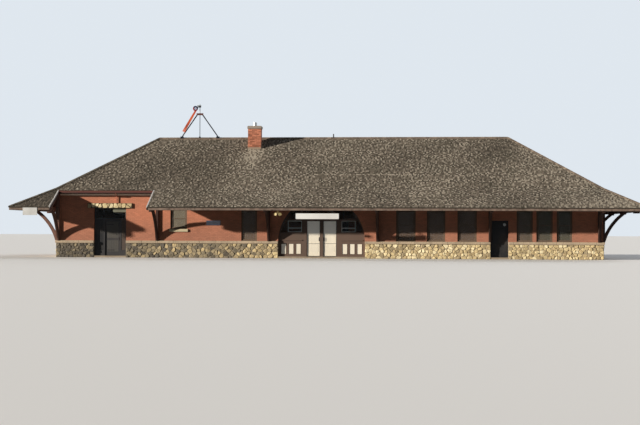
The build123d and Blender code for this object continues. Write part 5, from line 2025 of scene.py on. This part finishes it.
@dataclass
class Freight(Assembly):
    """Planks, strap hinges and a latch on the freight leaf, and the board over its door."""

    leaf: Pair = (-12.772, -11.898)
    body: str = "freight_door_leaf"
    face: float = -0.205
    plank_inset: float = 0.092
    plank_out: Pair = (-0.010, -0.003)
    plank_heights: Rows = ((0.334, 0.996), (1.124, 2.066))
    planks: int = 5
    width: float = 0.105
    side_boards: Rect = (-0.184, -0.170, 0.425, 2.185)
    # The left side boards take the dark door paint as painted shade cast by the jamb; the right ones
    # keep their own grey-brown paint.
    sides: tuple[tuple[str, str, Pair], ...] = (
        ("left", "door", (-13.31, -12.86)), ("right", "freight_side", (-11.81, -11.60)))
    head: Rows = ((-12.30, -11.53, -0.160, -0.110, 2.60, 2.83),)
    straps: Rows = ((0.02, 0.52, -0.002, 0.005, 0.40, 0.445), (0.02, 0.52, -0.002, 0.005, 1.88, 1.925))
    latch: Rows = ((-0.070, -0.030, 0.000, 0.008, 0.98, 1.16),
                   (-0.058, -0.042, 0.006, 0.050, 1.06, 1.08),
                   (-0.058, -0.042, 0.040, 0.055, 1.00, 1.14))

    def build(self) -> None:
        """Dress the freight doorway."""
        front, (left, right) = self.station.front, self.leaf
        planks = Boards("freight_planks", self.piece("freight_leaf", "screen", self.body), 0.006)
        cuts = np.linspace(left + self.plank_inset, right - self.plank_inset, self.planks + 1)
        near, far = self.plank_out
        for z in self.plank_heights:
            planks.row(front, cuts, (self.face + near, self.face + far), z)
        planks.build()
        iron = Boards("freight_ironwork", self.piece("steel", body=self.body), 0.003)
        iron.fill(front, self.straps, left, self.face)
        iron.fill(front, self.latch, right, self.face)
        iron.build()
        for label, finish, (start, end) in self.sides:
            side = Boards(f"freight_{label}_boards", self.piece(finish, "screen"))
            number = max(2, round((end - start) / self.width))
            cuts = np.linspace(start, end, number + 1)
            side.row(front, cuts, self.side_boards[:2], self.side_boards[2:])
            side.build()
        head = Boards("freight_head_board", self.piece("head_board", "window_paint"), 0.006)
        head.fill(front, self.head)
        head.build()


@dataclass
class PlainDoors(Assembly):
    """Lever handles on the side door and the rear doors, and a bare plate on the side door."""

    face: float = -0.205
    rear_face: float = -0.16
    double: float = 1.2
    lever: Rows = ((-0.022, 0.022, 0.000, 0.005, 0.98, 1.18),
                   (-0.010, 0.010, 0.004, 0.050, 1.09, 1.11),
                   (-0.120, 0.010, 0.038, 0.054, 1.09, 1.11))

    def handle(self, name: str, wall: Elevation, run: float, out: float,
               body: str = "station") -> None:
        """Model a back plate, a neck and a lever that points along the door.

        Args:
            name: Name of the piece.
            wall: The side it is on.
            run: Middle of its plate.
            out: Distance of the door's face outside the wall plane.
            body: The body that it rides on.
        """
        boards = Boards(name, self.piece("steel", body=body), 0.003)
        boards.fill(wall, self.lever, run, out)
        boards.build()

    def build(self) -> None:
        """Fit the handles and the plate."""
        station, body = self.station, "side_door_leaf"
        self.handle("side_door_handle", station.front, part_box(body)[1].x - 0.05, self.face, body)
        back = Vector((10.10, -(station.half_width + self.face), 1.95))
        disc = dished_disc("side_door_plate", back, FORWARD, 0.085, 0.005, 0.001)
        self.piece("board", body=body).settle(disc)
        for index, (left, right, _, _) in enumerate(self.openings.doors[Side.REAR]):
            run = (left + right) / 2 - 0.05 if right - left > self.double else right - 0.06
            self.handle(f"rear_door_handle_{index}", station.walls[2], run, self.rear_face)


@dataclass
class WornTimber(Assembly):
    """Imported timbers, boards and sills shown with their sharp edges worn."""

    kinds: tuple[tuple[str, str, float, tuple[str, ...]], ...] = (
        ("bracket", "timber", 0.008, ("bracket_posts", "bracket_outriggers", "bracket_braces")),
        ("timber", "timber", 0.008, ("eave_plates_long", "eave_plates_end")),
        ("fascia", "fascia", 0.008, ("fascia_long", "fascia_end")),
        ("white_trim", "white_trim", 0.008, ("barge_boards",)),
        ("concrete", "concrete", 0.008, ("chimney_cap",)),
        ("sill", "cap_stone", 0.010, ("window_sills",)))

    def build(self) -> None:
        """Wear the edges of each node in turn."""
        for finish, slot, width, nodes in self.kinds:
            for node in nodes:
                softened(node, self.piece(finish, slot), width)


@dataclass
class Fixings(Assembly):
    """Bolts that hold the bracket posts, and screws in the corners of the bare boards."""

    levels: Triple = (1.25, 2.05, 2.85)
    inset: float = 0.04
    boards: tuple = (("name_board", 2.53), ("notice_board", None), ("wall_board", None))

    def build(self) -> None:
        """Bolt every post and screw every board."""
        iron = self.piece("steel")
        bolts = Studs("bracket_bolts", iron, 0.024, 0.018)
        for wall in self.station.walls:
            for box in solids("bracket_posts"):
                span, out = wall.span(box), wall.outs(box)[1]
                if span and out < 0.2:
                    for z in self.levels:
                        bolts.add(wall, (span[0] + span[1]) / 2, out, z)
        bolts.build()
        screws, front = Studs("board_screws", iron, 0.010, 0.006), self.station.front
        for node, top in self.boards:
            low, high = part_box(node)
            for run in (low.x + self.inset, high.x - self.inset):
                for z in (low.z + self.inset, (top or high.z) - self.inset):
                    screws.add(front, run, -low.y - front.distance, z)
        screws.build()


@dataclass
class Gutter(Assembly):
    """Joint bands and straps on the gutter, and clips round its downpipe."""

    first: float = 0.5
    pitch: float = 0.9
    levels: Triple = (1.30, 2.30, 3.30)

    def build(self) -> None:
        """Fit the bands and the clips."""
        front, wall = self.station.front, -self.station.wall_set
        low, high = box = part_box("freight_gutter")
        near, far = front.outs(box)
        bands = Boards("gutter_bands", self.piece("gutter"), 0.003)
        for run in np.arange(low.x + self.first, high.x, self.pitch):
            bands.add(front, about(run, 0.02), about(far, 0.004), (high.z - 0.055, high.z + 0.004))
            bands.add(front, about(run, 0.012), (near, far), (high.z + 0.001, high.z + 0.005))
        bands.build()
        low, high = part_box("gutter_downpipe")
        clips = Boards("downpipe_clips", self.piece("steel"), 0.002)
        for z in self.levels:
            clips.add(front, (low.x - 0.004, high.x + 0.004), (wall, wall + 0.012), (z, z + 0.03))
        clips.build()


@dataclass
class Signal(Assembly):
    """Sleeves on the legs, a lens and a rim in the arm's spectacle, and bolts round its hub."""

    spectacle: Vector = Vector((-8.369, -0.074, 9.027))
    pivot: Pair = (-8.20, 9.16)
    bolt_circle: float = 0.048
    legs: tuple = (("left", -9.20, -8.26), ("right", -6.98, -7.94))
    leg_levels: Pair = (7.30, 8.65)

    def rim(self) -> Thing:
        """Model the rim of the spectacle as a flattened ring.

        Returns:
            The rim.
        """
        rim = added(bpy.ops.mesh.primitive_torus_add, major_segments=32, minor_segments=6,
                    major_radius=0.121, minor_radius=0.037, rotation=(math.pi / 2, 0, 0))
        rim.name = "spectacle_rim"
        rim.data.transform(Matrix.Translation((self.spectacle.x, -0.088, self.spectacle.z))
                           @ Matrix.Diagonal((1.0, 0.35, 1.0, 1.0)))
        bpy.ops.object.shade_smooth()
        return rim

    def build(self) -> None:
        """Sleeve the legs, glaze the spectacle and bolt the arm to its hub."""
        foot, head = self.leg_levels
        for label, start, end in self.legs:
            leg = sleeve(f"signal_leg_{label}", Vector((start, 0, foot)), Vector((end, 0, head)), 0.034)
            self.piece("signal_frame", "steel").settle(leg)
        disc = dished_disc("signal_lens", self.spectacle, FORWARD, 0.0845, 0.009, -0.003)
        self.piece("lens", "glass", "signal_arm").settle(disc)
        self.piece("spectacle", "navy", "signal_arm").settle(self.rim())
        bolts = Studs("signal_arm_bolts", self.piece("steel", body="signal_arm"), 0.008, 0.007)
        flat = Elevation(Side.FRONT, 0.0, 0.0)
        for turn in (45, 135, 225, 315):
            angle = math.radians(turn)
            bolts.add(flat, self.pivot[0] + self.bolt_circle * math.cos(angle), 0.0855,
                      self.pivot[1] + self.bolt_circle * math.sin(angle))
        bolts.build()


@dataclass
class Lamp(Assembly):
    """Lenses in the two heads of the lamp under the eave."""

    spread: float = 0.11
    turn: float = math.radians(20)
    reach: float = 0.064
    middle: Pair = (-7.055, 2.48)

    def build(self) -> None:
        """Close each head with a lens in a rim."""
        low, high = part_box("twin_lamp")
        y, z = self.middle
        for way, label in ((-1, "left"), (1, "right")):
            facing = Vector((way * math.sin(self.turn), -math.cos(self.turn), 0))
            place = Vector(((low.x + high.x) / 2 + way * self.spread, y, z)) + facing * self.reach
            disc = dished_disc(f"lamp_lens_{label}", place, facing, 0.080, 0.006, -0.004)
            self.piece("lamp_lens", "lamp").settle(disc)


@dataclass(frozen=True)
class Studio:
    """Camera at the photograph's place, low sun from the left, soft sky and pale floor."""

    place: Vector = Vector((5.375, -78.67, 1.6))
    turn: float = 0.0772
    tilt: float = 0.0137
    roll: float = 0.0034
    lens: float = 73.1
    sun_way: Vector = Vector((0.895, 0.388, -0.222))
    sun: float = 6.8
    fill_way: Vector = Vector((-0.5, -0.7, -0.45))
    fill: float = 1.5
    sky: float = 0.062
    sky_lit: Colour = (0.80, 0.89, 1.0)
    sky_seen: Colour = (0.74, 0.80, 0.86)
    floor_lit: Colour = (0.072, 0.084, 0.094)
    floor_seen: Colour = (0.78, 0.77, 0.75)

    def camera(self) -> None:
        """Add the camera."""
        data = bpy.data.cameras.new("camera")
        data.lens, data.sensor_width, data.clip_end = self.lens, 36, 600
        camera = bpy.data.objects.new("camera", data)
        bpy.context.scene.collection.objects.link(camera)
        look = (Matrix.Rotation(self.turn, 4, "Z") @ Matrix.Rotation(math.pi / 2 + self.tilt, 4, "X")
                @ Matrix.Rotation(self.roll, 4, "Z"))
        camera.matrix_world = Matrix.Translation(self.place) @ look
        bpy.context.scene.camera = camera

    @staticmethod
    def seen(bench: NodeBench) -> Socket:
        """Tell rays that the camera, metal or glass sees from those that light things.

        Args:
            bench: The bench on the tree that needs it.

        Returns:
            1 for rays that are seen, else 0.
        """
        path = bench.add("ShaderNodeLightPath")
        rays = [path.outputs[f"Is {kind} Ray"] for kind in ("Camera", "Glossy", "Transmission")]
        return bench.calc("MAXIMUM", bench.calc("MAXIMUM", rays[0], rays[1]), rays[2])

    def light(self) -> None:
        """Add the sun, a soft fill for the far sides, and the sky."""
        for name, way, energy, angle, colour in (
                ("sun", self.sun_way, self.sun, 1.5, (1.0, 0.93, 0.83)),
                ("fill", self.fill_way, self.fill, 40.0, (0.95, 0.96, 1.0))):
            data = bpy.data.lights.new(name, "SUN")
            data.energy, data.angle, data.color = energy, math.radians(angle), colour
            lamp = bpy.data.objects.new(name, data)
            lamp.rotation_mode = "QUATERNION"
            lamp.rotation_quaternion = way.to_track_quat("-Z", "Y")
            bpy.context.scene.collection.objects.link(lamp)
        world = bpy.data.worlds.new("sky")
        world.use_nodes = True
        bench, back = NodeBench(world.node_tree), world.node_tree.nodes["Background"]
        seen = self.seen(bench)
        bench.join(bench.mix(seen, rgba(self.sky_lit), rgba(self.sky_seen)), back, "Color")
        bench.join(bench.calc("MULTIPLY_ADD", seen, 1.0 - self.sky, self.sky), back, "Strength")
        bpy.context.scene.world = world

    def floor(self) -> None:
        """Add a plain pale floor."""
        bpy.ops.object.select_all(action="DESELECT")
        bpy.ops.mesh.primitive_plane_add(size=700, location=(0, 0, -0.002))
        floor = bpy.context.object
        floor.name = "studio_floor"
        made, bench, shader = new_material("studio_floor")
        shader.inputs["Roughness"].default_value = 0.9
        pale = bench.mix(self.seen(bench), rgba(self.floor_lit), rgba(self.floor_seen))
        bench.join(pale, shader, "Base Color")
        floor.data.materials.append(made)

    def build(self) -> None:
        """Set the whole studio."""
        bpy.context.scene.view_settings.view_transform = "Standard"
        self.camera()
        self.light()
        self.floor()


def main() -> None:
    """Build the station's looks in order, from the roof down to the ground."""
    logging.basicConfig(level=logging.INFO, format="%(name)s %(message)s")
    station, finishes = Station.measure(), Finishes()
    LOG.info("measured %s", station)
    openings = Openings(station)
    Studio().build()
    finishes.dress()
    for kind in (Roof, Soffit, Chimney, Brickwork, Windows, Entrance, Freight, PlainDoors, WornTimber,
                 Fixings, Gutter, Signal, Lamp, Lintel, CapCourse, Fieldstone):
        before = set(bpy.data.objects.keys())
        kind(station, finishes, openings).build()
        pieces = sorted(set(bpy.data.objects.keys()) - before)
        LOG.info("%s built: %s", kind.__name__, ", ".join(pieces))


if __name__ == "__main__":
    main()
